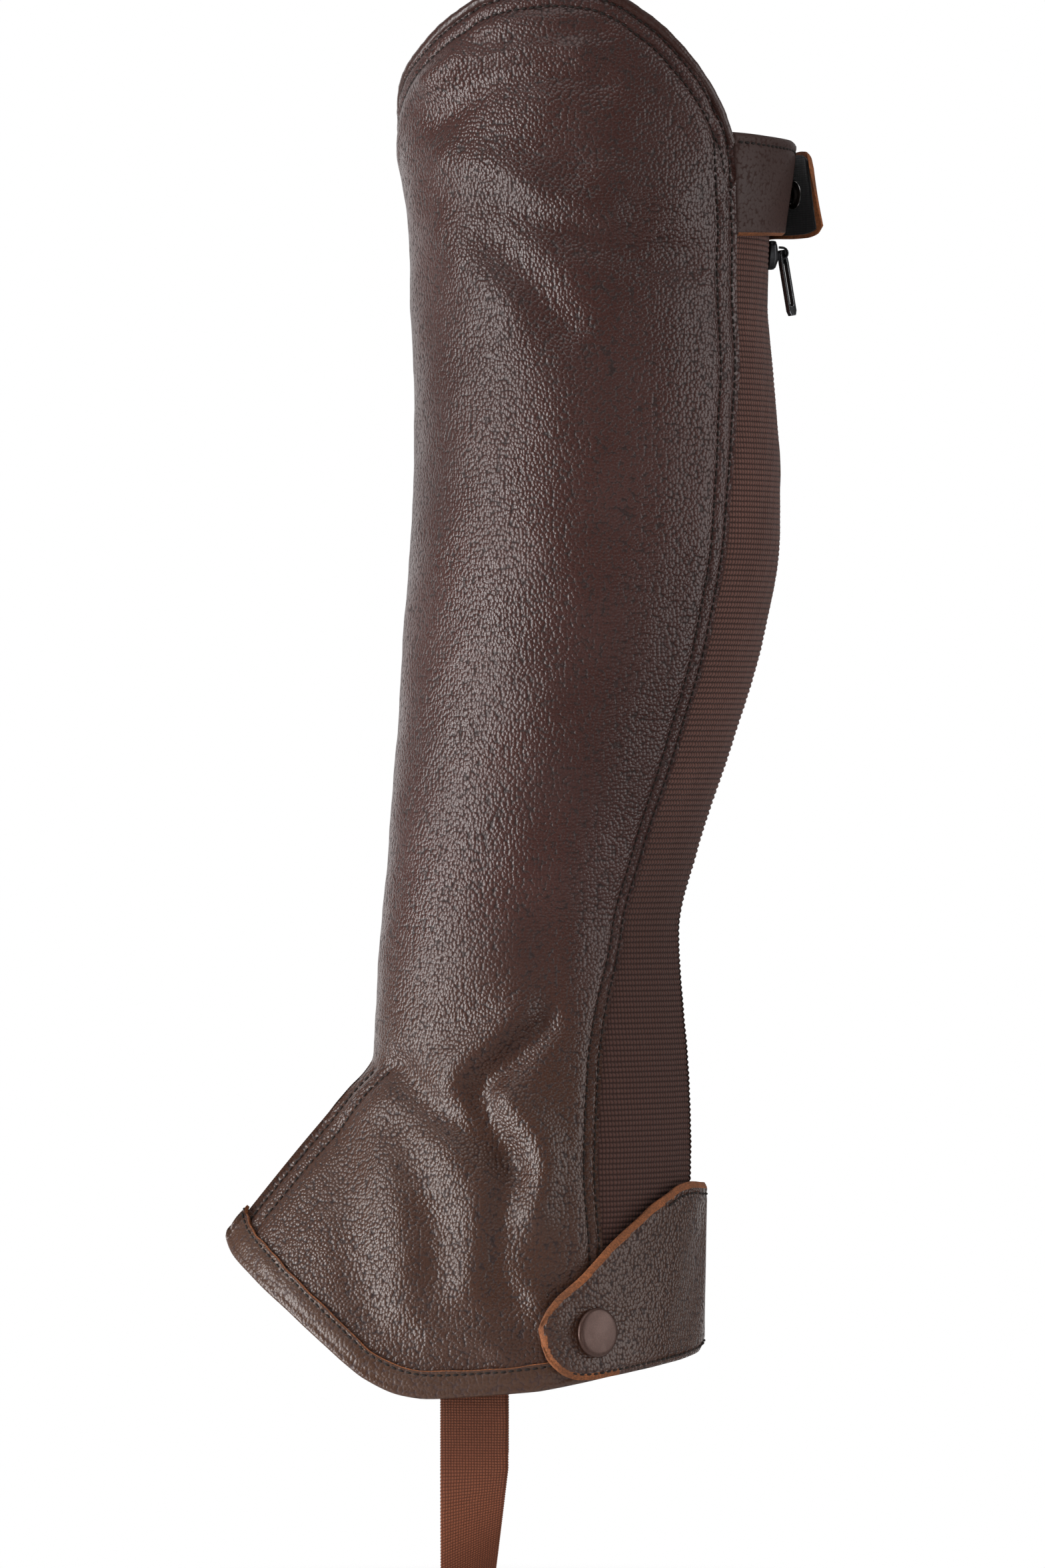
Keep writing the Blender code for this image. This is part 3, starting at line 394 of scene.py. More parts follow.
def fold_rise(points):
    """Rise of the folds at points of the form, read in side view."""
    side = points[..., [0, 2]]
    total = np.zeros(side.shape[:-1])
    for folds, sign in ((OUTER_FOLDS, -1.0), (INNER_FOLDS, 1.0)):
        on_side = np.clip(sign * points[..., 1] / FOLD_FADE, 0.0, 1.0)
        for rise, half_breadth, line in folds:
            line = np.array(line, dtype=float)
            nearest = np.full(side.shape[:-1], np.inf)
            for start, end in zip(line[:-1], line[1:]):
                run = end - start
                share = np.clip(((side - start) @ run) / (run @ run), 0.0, 1.0)
                away = side - (start + share[..., None] * run)
                nearest = np.minimum(nearest, (away ** 2).sum(axis=-1))
            total += rise * on_side * np.exp(-nearest / half_breadth ** 2)
    return total


def outward(turn, height, surface):
    """Unit normals of a surface function, pointing away from the leg."""
    around = surface(turn + PROBE, height) - surface(turn - PROBE, height)
    down = surface(turn, height - PROBE) - surface(turn, height + PROBE)
    return unit(np.cross(around, down))


def skin(turn, height):
    """Points of the leather's outer face: the form with its folds."""
    points = form(turn, height)
    return points + outward(turn, height, form) * fold_rise(points)[..., None]


def both(turn, height):
    return np.broadcast_arrays(np.asarray(turn, dtype=float), np.asarray(height, dtype=float))


def moved(turn, height, off):
    """Points of the leather's outer face moved outwards."""
    turn, height = both(turn, height)
    return skin(turn, height) + outward(turn, height, skin) * np.asarray(off, dtype=float)[..., None]


def layer(turn, height, off, wall):
    """The outer and the inner face of a sheet that follows the leather."""
    return moved(turn, height, off), moved(turn, height, off - wall)


def hem_height(turn):
    """Finished hem, the inner side a little lower than the outer one."""
    turn = np.asarray(turn, dtype=float) % 360.0
    return hem_at(np.where(turn > 180.0, 360.0 - turn, turn)) + swells(turn, INNER_DIP)


def top_slope(turn):
    """How much longer a step down the leg is than the same step square to the top edge."""
    rise = top_at(turn + 0.5) - top_at(turn - 0.5)
    return np.minimum(np.hypot(1.0, 1.1 * rise), 3.2)


def top_height(turn, inset=0.0):
    """Finished top edge, or a line kept at a distance below it."""
    return top_at(turn) - inset * top_slope(turn)


def back_turn(side, height):
    """Turn of a place at a distance towards the inner side from the back of the leg."""
    return -np.degrees(np.arcsin((side / half_width_at(height)) ** (1.0 / (1.0 + heel_at(height)))))


def degree_length(turn, height):
    """Length of one degree of turn on the form."""
    return np.linalg.norm(form(turn + 0.5, height) - form(turn - 0.5, height), axis=-1)


def past_seam(distance, height):
    """Turn of a place past the outer rear seam, at a distance that widens up the leg."""
    seam = seam_at(height)
    distance = distance * spread_at(height)
    middle = seam + 0.5 * distance / degree_length(seam, height)
    return seam + distance / degree_length(middle, height)


def before_rear(distance, height):
    """Turn of a place at a distance before the leather's inner rear edge."""
    rear = 360.0 + back_turn(REAR_SIDE, height)
    middle = rear - 0.5 * distance / degree_length(rear, height)
    return rear - distance / degree_length(middle, height)


def toe_turn(distance, height):
    """Outer turn of a place at a distance behind the instep's edge, in side view."""
    depth = centre_at(height) - front_at(height)
    share = (depth - distance / TOE_SLOPE) / depth
    return 180.0 - np.degrees(np.arccos(share ** (1.0 / (1.0 + NOSE_ALONG * nose_at(height)))))


def unevenness(points):
    """A gentle, irregular waviness of soft leather."""
    x, y, z = np.moveaxis(points, -1, 0)
    broad = np.sin(0.11 * x + 0.071 * z + 0.6) * np.sin(0.083 * y - 0.052 * z + 1.9)
    middling = np.sin(0.21 * x - 0.17 * z + 2.2) * np.sin(0.19 * y + 0.142 * z)
    fine = np.sin(0.47 * x + 0.33 * z) * np.sin(0.41 * y - 0.38 * z + 0.8)
    return 0.28 * broad + 0.16 * middling + 0.07 * fine


def relief(turn, height, points):
    """Low relief of the leather: stitch grooves, the padded top and the waviness."""
    seam = seam_at(height)
    from_seam = (turn - seam) * degree_length(seam, height) / spread_at(height)
    rear = 360.0 + back_turn(REAR_SIDE, height)
    from_rear = (rear - turn) * degree_length(rear, height)
    from_top = (top_height(turn) - height) / top_slope(turn)
    from_toe = TOE_SLOPE * (points[..., 0] - front_at(height))
    below_slit = np.clip((SLIT_TOP - height) / 4.0, 0.0, 1.0)
    rise = unevenness(points) * np.clip(from_seam / 20.0, 0.2, 1.0)
    rise += grooves(from_seam, SEAM_ROWS, 0.75) + swells(from_seam, *SEAM_SWELLS)
    rise += grooves(from_rear, REAR_ROWS, 0.75)
    rise += grooves(from_top, TOP_ROWS, 0.75) + swells(from_top, *TOP_SWELLS)
    return rise + below_slit * (grooves(from_toe, TOE_ROWS, 0.8) + swells(from_toe, *TOE_SWELLS))


def part_at_slit(points, turn, clear, low=True):
    """Keeps low points by the instep's slit at least a distance clear of its plane."""
    near = low & (np.abs(turn - 180.0) < SLIT_REACH)
    side = np.where(turn < 180.0, -1.0, 1.0)
    points[..., 1] = np.where(near, side * np.maximum(side * points[..., 1], clear), points[..., 1])
    return points


def leather_face(turn, height):
    """Points of the leather's outer face with its low relief."""
    turn, height = both(turn, height)
    points = skin(turn, height)
    face = points + outward(turn, height, form) * relief(turn, height, points)[..., None]
    return part_at_slit(face, turn, SLIT_EDGE, height < SLIT_TOP)


def link(name, mesh):
    """A new object in the scene."""
    piece = bpy.data.objects.new(name, mesh)
    bpy.context.scene.collection.objects.link(piece)
    return piece


def new_mesh(name, points, faces, materials):
    """A mesh in metres from points in millimetres."""
    mesh = bpy.data.meshes.new(name)
    mesh.from_pydata((np.asarray(points) * METRES).tolist(), [], [list(map(int, f)) for f in faces])
    for material in materials:
        mesh.materials.append(material)
    return mesh


def add_mesh(name, points, faces, materials, node=None, body="chap", slots=None, uv=None,
             sharp=50.0):
    """One piece of the scene, in place of a node or beside one, with UVs in metres."""
    mesh = new_mesh(name, points, faces, materials)
    if slots is not None:
        mesh.polygons.foreach_set("material_index", np.asarray(slots, dtype=np.int32))
    if uv is not None:
        corners = np.empty(len(mesh.loops), dtype=np.int32)
        mesh.loops.foreach_get("vertex_index", corners)
        layer_data = mesh.uv_layers.new(name="UVMap").data
        layer_data.foreach_set("uv", (np.asarray(uv)[corners] * METRES).astype(np.float32).ravel())
    mesh.validate()
    mesh.shade_smooth()
    mesh.set_sharp_from_angle(angle=math.radians(sharp))
    piece = link(name, mesh)
    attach(piece, body)
    if node:
        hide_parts(node)
    return piece


def rim(fine, coarse, step):
    """Faces between a line of fine points and the coarse line on the sheet's other face."""
    return [tuple(fine[k * step:(k + 1) * step + 1][::-1]) + (coarse[k], coarse[k + 1])
            for k in range(len(coarse) - 1)]


def grid_numbers(shape, start, slit):
    """Vertex numbers seen from each column's left and from its right, and the next free one."""
    rows, columns = shape[:2]
    row, column = slit
    left = start + np.arange(rows * columns).reshape(rows, columns)
    right = left.copy()
    split = rows - 1 - row
    right[row + 1:, column] = start + rows * columns + np.arange(split)
    return left, right, start + rows * columns + split


def rim_lines(left, right, slit):
    """Vertex numbers along each stretch of a sheet's rim, the two sides of its slit last."""
    row, column = slit
    lines = []
    for start, end in ((0, column), (column, left.shape[1] - 1)):
        foot = left[-1, start:end + 1].copy()
        foot[0] = right[-1, start]
        lines += [left[0, start:end + 1][::-1], foot]
    return lines + [left[:, 0], left[::-1, -1], left[row:, column][::-1], right[row:, column]]


def shell(outer, inner, step, slit=None, outer_far=NO_POINTS, inner_far=NO_POINTS):
    """Points, faces and slots of a closed sheet: 0 for its face, 1 for its edge, 2 for its back.

    The back has one point for every few of the face. A slit runs down one column from a
    row to the foot, with its far side's points given apart.
    """
    slit = slit or (outer.shape[0] - 1, 0)
    low_slit = slit[0] // step, slit[1] // step
    left, right, count = grid_numbers(outer.shape, 0, slit)
    back_left, back_right, _ = grid_numbers(inner.shape, count, low_slit)
    faces, slots = [], []
    for near, far, turn, slot in ((left, right, 1, 0), (back_left, back_right, -1, 2)):
        quads = np.stack([far[:-1, :-1], near[:-1, 1:], near[1:, 1:], far[1:, :-1]], axis=-1)
        faces += [tuple(q) for q in quads.reshape(-1, 4)[:, ::turn]]
        slots += [slot] * (len(faces) - len(slots))
    lines = zip(rim_lines(left, right, slit), rim_lines(back_left, back_right, low_slit))
    for fine, coarse in lines:
        faces += rim(fine, coarse, step)
    slots += [1] * (len(faces) - len(slots))
    return np.concatenate([outer.reshape(-1, 3), outer_far, inner.reshape(-1, 3), inner_far]), faces, slots


def shell_uv(uv, step):
    """UVs of a closed sheet's points from those of its face."""
    return np.concatenate([uv.reshape(-1, 2), uv[::step, ::step].reshape(-1, 2)])


def loft(sections):
    """Points and faces of a closed body through sections of the same number of points."""
    sections = np.asarray(sections, dtype=float)
    stations, corners = sections.shape[:2]
    base = np.arange(stations * corners).reshape(stations, corners)
    after = np.roll(base, -1, axis=1)
    quads = np.stack([base[:-1], after[:-1], after[1:], base[1:]], axis=-1).reshape(-1, 4)
    return sections.reshape(-1, 3), [*map(tuple, quads), tuple(base[0][::-1]), tuple(base[-1])]


def joined(bodies):
    """Points and faces of many lofts with the same number of points in each."""
    points, faces = [], []
    for sections in bodies:
        block, block_faces = loft(sections)
        start = len(points) * len(block)
        points.append(block)
        faces += [tuple(v + start for v in f) for f in block_faces]
    return np.concatenate(points), faces


def circle(side, out, count):
    """Offsets round a circle, or an oval, that two directions give; one for each pair of them."""
    angles = 2 * math.pi * np.arange(count)[:, None] / count
    return np.cos(angles) * side[..., None, :] + np.sin(angles) * out[..., None, :]


def section(middle, side, out, ring):
    """Corners round a place, each given by its shares of two directions."""
    return [middle + a * side + b * out for a, b in ring]


def fill(tree, node, inputs):
    """Sets a node's inputs, each to a value or from another node's socket."""
    for key, value in inputs.items():
        if isinstance(value, bpy.types.NodeSocket):
            tree.links.new(value, node.inputs[key])
        else:
            node.inputs[key].default_value = value
    return node


def put(tree, kind, inputs, **settings):
    """Adds a node with its settings and inputs."""
    node = tree.nodes.new("ShaderNode" + kind)
    for key, value in settings.items():
        setattr(node, key, value)
    return fill(tree, node, inputs)


def maths(tree, operation, *values, kind="Math"):
    return put(tree, kind, dict(enumerate(values)), operation=operation).outputs[0]


def remap(tree, value, low, high, to_low=0.0, to_high=1.0):
    inputs = {"Value": value, "From Min": low, "From Max": high, "To Min": to_low, "To Max": to_high}
    return put(tree, "MapRange", inputs, interpolation_type="SMOOTHSTEP").outputs["Result"]


def blend(tree, share, first, second):
    """Mixed colour of two colours or colour sockets."""
    first, second = (c if isinstance(c, bpy.types.NodeSocket) else (*c, 1.0) for c in (first, second))
    return put(tree, "Mix", {"Factor": share, 6: first, 7: second}, data_type="RGBA").outputs[2]


def noise_at(tree, place, scale, detail=2.0, roughness=0.5, output="Fac"):
    inputs = {"Vector": place, "Scale": scale, "Detail": detail, "Roughness": roughness}
    return put(tree, "TexNoise", inputs).outputs[output]


def bump_of(tree, height, strength, distance):
    return put(tree, "Bump", {"Strength": strength, "Distance": distance, "Height": height}).outputs[0]


def scaled(colour, factor):
    return tuple(channel * factor for channel in colour)


def spread(tree, value, low, high, colour, dark, light):
    """A colour that goes from a darker to a lighter tone as a value passes a span."""
    return blend(tree, remap(tree, value, low, high), scaled(colour, dark), scaled(colour, light))


def new_material(name):
    """A material, its node tree and its object coordinates."""
    material = bpy.data.materials.new(name)
    material.use_nodes = True
    return material, material.node_tree, put(material.node_tree, "TexCoord", {}).outputs["Object"]


def finished(material, inputs):
    """Sets the inputs of a material's shader."""
    fill(material.node_tree, material.node_tree.nodes["Principled BSDF"], inputs)
    return material


def leather_material(name, colour, grain=1.0, gloss=0.3, coat=0.12):
    """Pebbled grain leather: rounded cells under a thin glossy finish, with painted shade in the creases,
    which are also rougher.
    """
    material, tree, place = new_material(name)
    wander = noise_at(tree, place, 240.0, output="Color")
    centred = maths(tree, "SUBTRACT", wander, (0.5,) * 3, kind="VectorMath")
    warped = maths(tree, "MULTIPLY_ADD", centred, (PEBBLE_WARP,) * 3, place, kind="VectorMath")
    cells = put(tree, "TexVoronoi", {"Vector": warped, "Scale": PEBBLE_SCALE, "Randomness": 0.85}).outputs[0]
    pebbles = maths(tree, "SUBTRACT", 1.0, maths(tree, "MULTIPLY", cells, cells))
    height = maths(tree, "MULTIPLY_ADD", noise_at(tree, place, 2600.0), 0.15, pebbles)
    height = maths(tree, "MULTIPLY_ADD", noise_at(tree, place, 420.0), 0.3, height)
    bump = bump_of(tree, height, grain, PEBBLE_DEPTH)
    base = spread(tree, noise_at(tree, place, 14.0, 3.0), 0.3, 0.7, colour, 0.86, 1.14)
    level = put(tree, "SeparateXYZ", {0: place}).outputs[2]
    foot = tuple(channel * tone for channel, tone in zip(colour, FOOT_TONE))
    base = blend(tree, remap(tree, level, -0.10, -0.20), base, foot)
    # Painted shade: the creases between pebbles are darkened in the base colour; the same mask makes them
    # rougher.
    crease_shade_and_roughness = remap(tree, cells, 0.5, 0.85)
    base = blend(tree, crease_shade_and_roughness, base, scaled(colour, 1.0 - 0.6 * grain))
    coarse = remap(tree, noise_at(tree, place, 38.0, 3.0), 0.38, 0.62)
    rough = maths(tree, "MULTIPLY_ADD", coarse, 0.08, gloss - 0.04)
    rough = maths(tree, "MULTIPLY_ADD", crease_shade_and_roughness, 0.3, rough)
    return finished(material, {"Base Color": base, "Roughness": rough, "Normal": bump, "Coat Normal": bump,
                               "IOR": 1.46, "Coat Weight": coat, "Coat Roughness": 0.18})


def raw_edge_material(name, colour, dark):
    """Cut edge of leather: fibrous, with darker burnished places."""
    material, tree, place = new_material(name)
    fibres = noise_at(tree, place, 1500.0, 4.0, 0.7)
    worn = remap(tree, noise_at(tree, place, 130.0, 3.0), 0.35, 0.7)
    fuzzy = spread(tree, fibres, 0.35, 0.65, colour, 0.6, 1.25)
    base = blend(tree, maths(tree, "MULTIPLY", worn, 0.45), fuzzy, dark)
    return finished(material, {"Base Color": base, "Roughness": 0.85,
                               "Normal": bump_of(tree, fibres, 0.7, 0.0003)})


def suede_material(name, colour):
    """Flesh side of the leather: a soft nap."""
    material, tree, place = new_material(name)
    nap = noise_at(tree, place, 900.0, 4.0, 0.7)
    mottled = spread(tree, noise_at(tree, place, 45.0, 3.0), 0.3, 0.7, colour, 0.75, 1.2)
    base = blend(tree, remap(tree, nap, 0.3, 0.7), scaled(colour, 0.6), mottled)
    return finished(material, {"Base Color": base, "Roughness": 0.95, "Sheen Weight": 0.35,
                               "Normal": bump_of(tree, nap, 0.5, 0.0003)})


def woven_material(name, colour, across, along, depth, gap_shade, sheen=0.25, painted_lighting_tone=1.0,
                   painted_lighting_span=(-0.2, -0.3)):
    """Elastic with columns across U and ribs along V; below a span of heights its colour is scaled by a
    tone, painted shade where the tone is below one and painted light where it is above.
    """
    material, tree, place = new_material(name)
    uv = put(tree, "SeparateXYZ", {0: put(tree, "TexCoord", {}).outputs["UV"]})
    drift = maths(tree, "MULTIPLY", noise_at(tree, place, 160.0), 0.0007)
    waves = []
    for way, pitch in ((maths(tree, "ADD", uv.outputs[0], drift), across), (uv.outputs[1], along)):
        wave = maths(tree, "SINE", maths(tree, "MULTIPLY", way, math.pi / pitch))
        waves.append(maths(tree, "POWER", maths(tree, "ABSOLUTE", wave), 0.8))
    yarn = maths(tree, "MULTIPLY", *waves)
    strands = noise_at(tree, place, 2600.0, 3.0, 0.65)
    height = maths(tree, "MULTIPLY_ADD", strands, 0.35, yarn)
    base = spread(tree, noise_at(tree, place, 60.0, 3.0), 0.3, 0.7, colour, 0.88, 1.12)
    base = blend(tree, remap(tree, strands, 0.3, 0.7), scaled(colour, 0.75), base)
    level = put(tree, "SeparateXYZ", {0: place}).outputs[2]
    # Painted shade or painted light towards the bottom: the colour is scaled by the tone below the span of
    # heights.
    base = blend(tree, remap(tree, level, *painted_lighting_span), base, scaled(colour, painted_lighting_tone))
    # Painted shade between the yarns: the gaps between columns and ribs are darkened towards a sixth of the
    # colour.
    base = blend(tree, remap(tree, yarn, 0.1, 0.75, 1.0 - gap_shade, 1.0), scaled(colour, 0.16), base)
    return finished(material, {"Base Color": base, "Roughness": 0.78, "Sheen Weight": sheen,
                               "Sheen Roughness": 0.4, "Specular IOR Level": 0.25,
                               "Normal": bump_of(tree, height, 0.75, depth)})


def metal_material(name, colour, metallic, rough):
    """Painted or plated metal with faint scuffs."""
    material, tree, place = new_material(name)
    speck = noise_at(tree, place, 2400.0, 3.0, 0.6)
    scuffed = remap(tree, noise_at(tree, place, 220.0, 3.0), 0.3, 0.7, rough - 0.06, rough + 0.08)
    return finished(material, {"Base Color": spread(tree, speck, 0.4, 0.75, colour, 1.0, 1.35),
                               "Metallic": metallic, "Roughness": scuffed,
                               "Normal": bump_of(tree, speck, 0.12, 0.0001)})


def thread_material(name, colour):
    """Twisted sewing thread."""
    material, tree, place = new_material(name)
    twist = noise_at(tree, place, 3500.0)
    return finished(material, {"Base Color": spread(tree, twist, 0.35, 0.65, colour, 0.6, 1.4),
                               "Roughness": 0.8, "Normal": bump_of(tree, twist, 0.5, 0.0001)})


GRAIN = leather_material("grain_leather", (0.055, 0.0227, 0.019))
BINDING = leather_material("binding_leather", (0.062, 0.027, 0.021), 0.6, 0.34)
PIPING = leather_material("piping_leather", (0.045, 0.020, 0.016), 0.25, 0.28)
PATCH_HIDE = leather_material("patch_leather", (0.042, 0.018, 0.014), 0.3, 0.6, coat=0.0)
RAW_EDGE = raw_edge_material("raw_edge", (0.26, 0.085, 0.028), (0.060, 0.026, 0.014))
DARK_EDGE = raw_edge_material("dark_edge", (0.085, 0.042, 0.026), (0.030, 0.016, 0.012))
SUEDE = suede_material("flesh_side", (0.150, 0.078, 0.045))
# The elastic gets painted shade towards its foot; the strap gets painted light at the bottom of its loop.
ELASTIC_KNIT = woven_material("ribbed_elastic", (0.18, 0.085, 0.068), 0.0014, 0.00168, 0.0006, 0.85,
                              sheen=0.04, painted_lighting_tone=0.52, painted_lighting_span=(-0.05, -0.14))
STRAP_KNIT = woven_material("strap_elastic", (0.134, 0.041, 0.020), 0.0009, 0.00084, 0.00035, 0.65,
                            sheen=0.0, painted_lighting_tone=1.7, painted_lighting_span=(-0.27, -0.33))
LINING_CLOTH = woven_material("tab_lining", (0.010, 0.010, 0.011), 0.0007, 0.0007, 0.0001, 0.4)
TAPE_CLOTH = woven_material("zip_tape", (0.034, 0.018, 0.014), 0.0008, 0.0006, 0.00015, 0.5)
THREAD = thread_material("thread", (0.013, 0.008, 0.006))
SNAP_METAL = metal_material("snap_metal", (0.074, 0.040, 0.032), 0.5, 0.34)
SOCKET_METAL = metal_material("socket_metal", (0.30, 0.29, 0.28), 1.0, 0.28)
PULL_METAL = metal_material("pull_metal", (0.24, 0.24, 0.25), 1.0, 0.2)
GUNMETAL = metal_material("gunmetal", (0.050, 0.051, 0.054), 0.9, 0.34)
TOOTH_NYLON = metal_material("zip_teeth", (0.022, 0.014, 0.012), 0.0, 0.4)


def leather_turns(height):
    """Turns of the leather's fine columns, which run along the last axis of the heights."""
    seam, side, toe, inner, rear = np.split(height, np.cumsum(LEATHER_COLUMNS[:-1]), axis=-1)
    side_share, toe_share, inner_share = (np.arange(1, part.shape[-1] + 1) for part in (side, toe, inner))
    start, end = past_seam(SEAM_STEPS[-1], side), before_rear(REAR_STEPS[0], inner)
    front = 180.0 + (180.0 - SIDE_END) * signed_power(toe_share / TOE_COLUMNS - 1.0, 1.5) + 0.0 * toe
    return np.concatenate([
        past_seam(np.array(SEAM_STEPS), seam),
        start + (SIDE_END - start) * side_share / SIDE_COLUMNS,
        front,
        360.0 - SIDE_END + (end - (360.0 - SIDE_END)) * inner_share / (INNER_COLUMNS + 1),
        before_rear(np.array(REAR_STEPS), rear)], axis=-1)


def leather_grid():
    """Turns and heights of the leather's fine grid."""
    count = sum(LEATHER_COLUMNS)
    top_turns, low_turns = (leather_turns(np.full(count, level)) for level in (TOP_LEVEL, HEM_LEVEL))
    hem = hem_height(low_turns)
    targets = []
    for level, steps in BANDS:
        target = np.full(count, level)
        if level < SLIT_TOP:
            reach = (level - SLIT_TOP) / (FOOT_LEVEL - SLIT_TOP)
            target = SLIT_TOP + (hem + HEM_BAND - SLIT_TOP) * reach * FOOT_STRETCH
        targets.append((target, steps))
    targets += [(hem + HEM_BAND, FOOT_ROWS), (hem + HEM_WALL + GAP, BAND_ROWS)]
    rows = [top_height(top_turns, inset) for inset in TOP_STEPS]
    for target, steps in targets:
        previous = rows[-1]
        rows += [previous + (target - previous) * k / steps for k in range(1, steps + 1)]
    height = np.array(rows)
    return leather_turns(height), height


def add_leather():
    """The whole leather panel, slit and brought edge to edge down the instep."""
    turn, height = leather_grid()
    step = LEATHER_STEP
    toe = sum(LEATHER_COLUMNS[:2]) + TOE_COLUMNS - 1
    slit_row = step * int(np.argmax(height[::step, toe] < SLIT_TOP - 0.5))
    outer = leather_face(turn, height)
    low_turn, low_height = turn[::step, ::step], height[::step, ::step]
    inner = leather_face(low_turn, low_height) - LEATHER * outward(low_turn, low_height, skin)
    part_at_slit(inner, low_turn, 0.5 * GAP, low_height < SLIT_TOP)
    tips = skin(turn[slit_row:, toe], height[slit_row:, toe])
    outer[slit_row:, toe] = tips - (0.0, SLIT_EDGE, 0.0)
    outer[slit_row, toe] = tips[0]
    low_tips = tips[::step]
    inner[slit_row // step:, toe // step] = low_tips + (GAP, -0.5 * GAP, 0.0)
    points, faces, slots = shell(outer, inner, step, (slit_row, toe), tips[1:] + (0.0, SLIT_EDGE, 0.0),
                                 low_tips[1:] + (GAP, 0.5 * GAP, 0.0))
    return add_mesh("leather", points, faces, (GRAIN, DARK_EDGE, SUEDE), "leather_panel", slots=slots,
                    sharp=40.0)


def run_across(face):
    """Distance along each row of a grid of points from its first column."""
    return np.cumsum(np.linalg.norm(np.diff(face, axis=1, prepend=face[:, :1]), axis=-1), axis=1)


def add_elastic():
    """The elastic panel with every rib."""
    ribs = int((ELASTIC_TOP - HEM_LEVEL) / RIB_PITCH)
    heights = np.array([ELASTIC_TOP - RIB_PITCH * (k + share) for k in range(ribs) for share, _ in RIB])[:-3]
    lift = np.array([rise for _, rise in RIB] * ribs)[:-3] * np.interp(heights, *RIB_FADE)
    seam = seam_at(heights)[:, None] + ELASTIC_UNDER
    rear = back_turn(ELASTIC_REAR_SIDE, heights)[:, None]
    turn = rear + (seam - rear) * np.linspace(0.0, 1.0, 29)
    heights, lift = heights[:, None], lift[:, None]
    level = heights + (0.12 * np.sin(0.23 * turn + 0.05 * heights) + 0.08 * np.sin(0.61 * turn))
    outer = moved(turn, level, lift - ELASTIC_DEPTH + 0.1 * np.sin(0.9 * turn + 0.31 * heights))
    step = len(RIB)
    inner = moved(turn[::step, ::step], level[::step, ::step], -ELASTIC_DEPTH - ELASTIC)
    points, faces, slots = shell(outer, inner, step)
    uv = shell_uv(np.stack([run_across(outer), level], axis=-1), step)
    return add_mesh("elastic", points, faces, (ELASTIC_KNIT,) * 3, "elastic_panel", slots=slots, uv=uv,
                    sharp=70.0)


def add_hem_binding():
    """A leather strip folded over the hem, its raw upper edge showing."""
    rear = float(before_rear(0.0, HEM_LEVEL))
    turns = np.concatenate([
        np.arange(HEM_START, 150.0, 0.9), np.arange(150.0, 179.0, 0.7), [179.6, 180.4],
        np.arange(181.0, 210.0, 0.7), np.arange(210.0, rear, 1.4), [rear]])
    low = hem_height(turns)
    band = low + HEM_BAND + (0.18 * np.sin(0.31 * turns) + 0.12 * np.sin(0.83 * turns + 1.0))
    puff = 0.15 * np.sin(0.52 * turns + 0.5)
    out = GAP + HEM_WALL
    profile = (
        (band - 0.05, GAP + 0.05), (band, out - 0.25), (band - 0.3, out), (band - 0.8, out - 0.02),
        (band - HEM_ROW, out - 0.2), (band - 2.0, out + 0.12 + puff), (low + 4.5, out + 0.28 + puff),
        (low + 2.9, out + 0.12), (low + 2.3, out - 0.08), (low + 1.7, out + 0.07),
        (low + 0.9, out + 0.1), (low + 0.25, out - 0.35), (low, 0.35), (low, -LEATHER + 0.3),
        (low + 0.25, -LEATHER - 0.35), (low + 1.2, -LEATHER - 0.5), (low + 1.2, -LEATHER),
        (low + 1.2, GAP), (low + 4.5, GAP))
    corners = [part_at_slit(moved(turns, level, off), turns, np.maximum(SLIT_EDGE + off, 0.35))
               for level, off in profile]
    points, faces = loft(np.stack(corners[::-1], axis=1))
    place = len(profile) - 1 - np.arange(len(faces)) % len(profile)
    slots = np.isin(place, BINDING_RAW_SIDES).astype(int)
    slots[-2:] = 1
    return add_mesh("binding", points, faces, (BINDING, RAW_EDGE), "hem_binding", slots=slots)


def add_piping():
    """A rolled leather edge along the top."""
    start, rear = float(seam_at(TOP_LEVEL)), float(before_rear(0.0, TOP_LEVEL))
    turns = np.concatenate([
        [start + 0.6], np.arange(start + 1.2, 100.0, 0.7), np.arange(100.0, rear, 1.2), [rear]])
    level = top_height(turns, PIPING_OVAL * PIPING_RADIUS)
    middle = moved(turns, level, -0.5 * LEATHER)
    out = unit(moved(turns, level, 1.0) - middle)
    up = unit(np.cross(np.gradient(middle, axis=0), out))
    up *= np.sign(up[:, 2:3])
    radius = PIPING_RADIUS + 0.05 * np.sin(1.3 * turns) + 0.03 * np.sin(3.1 * turns)
    points, faces = loft(middle[:, None] + radius[:, None, None] * circle(out, PIPING_OVAL * up, 16))
    return add_mesh("piping", points, faces, (PIPING,), "top_piping", sharp=60.0)


def rim_distance(grid):
    """Distance of every point of a grid from the grid's rim."""
    border = np.concatenate([grid[0], grid[-1], grid[:, 0], grid[:, -1]])
    tree = KDTree(len(border))
    for k, point in enumerate(border):
        tree.insert(point, k)
    tree.balance()
    found = [tree.find(point)[2] for point in grid.reshape(-1, 3)]
    return np.array(found).reshape(grid.shape[:2])


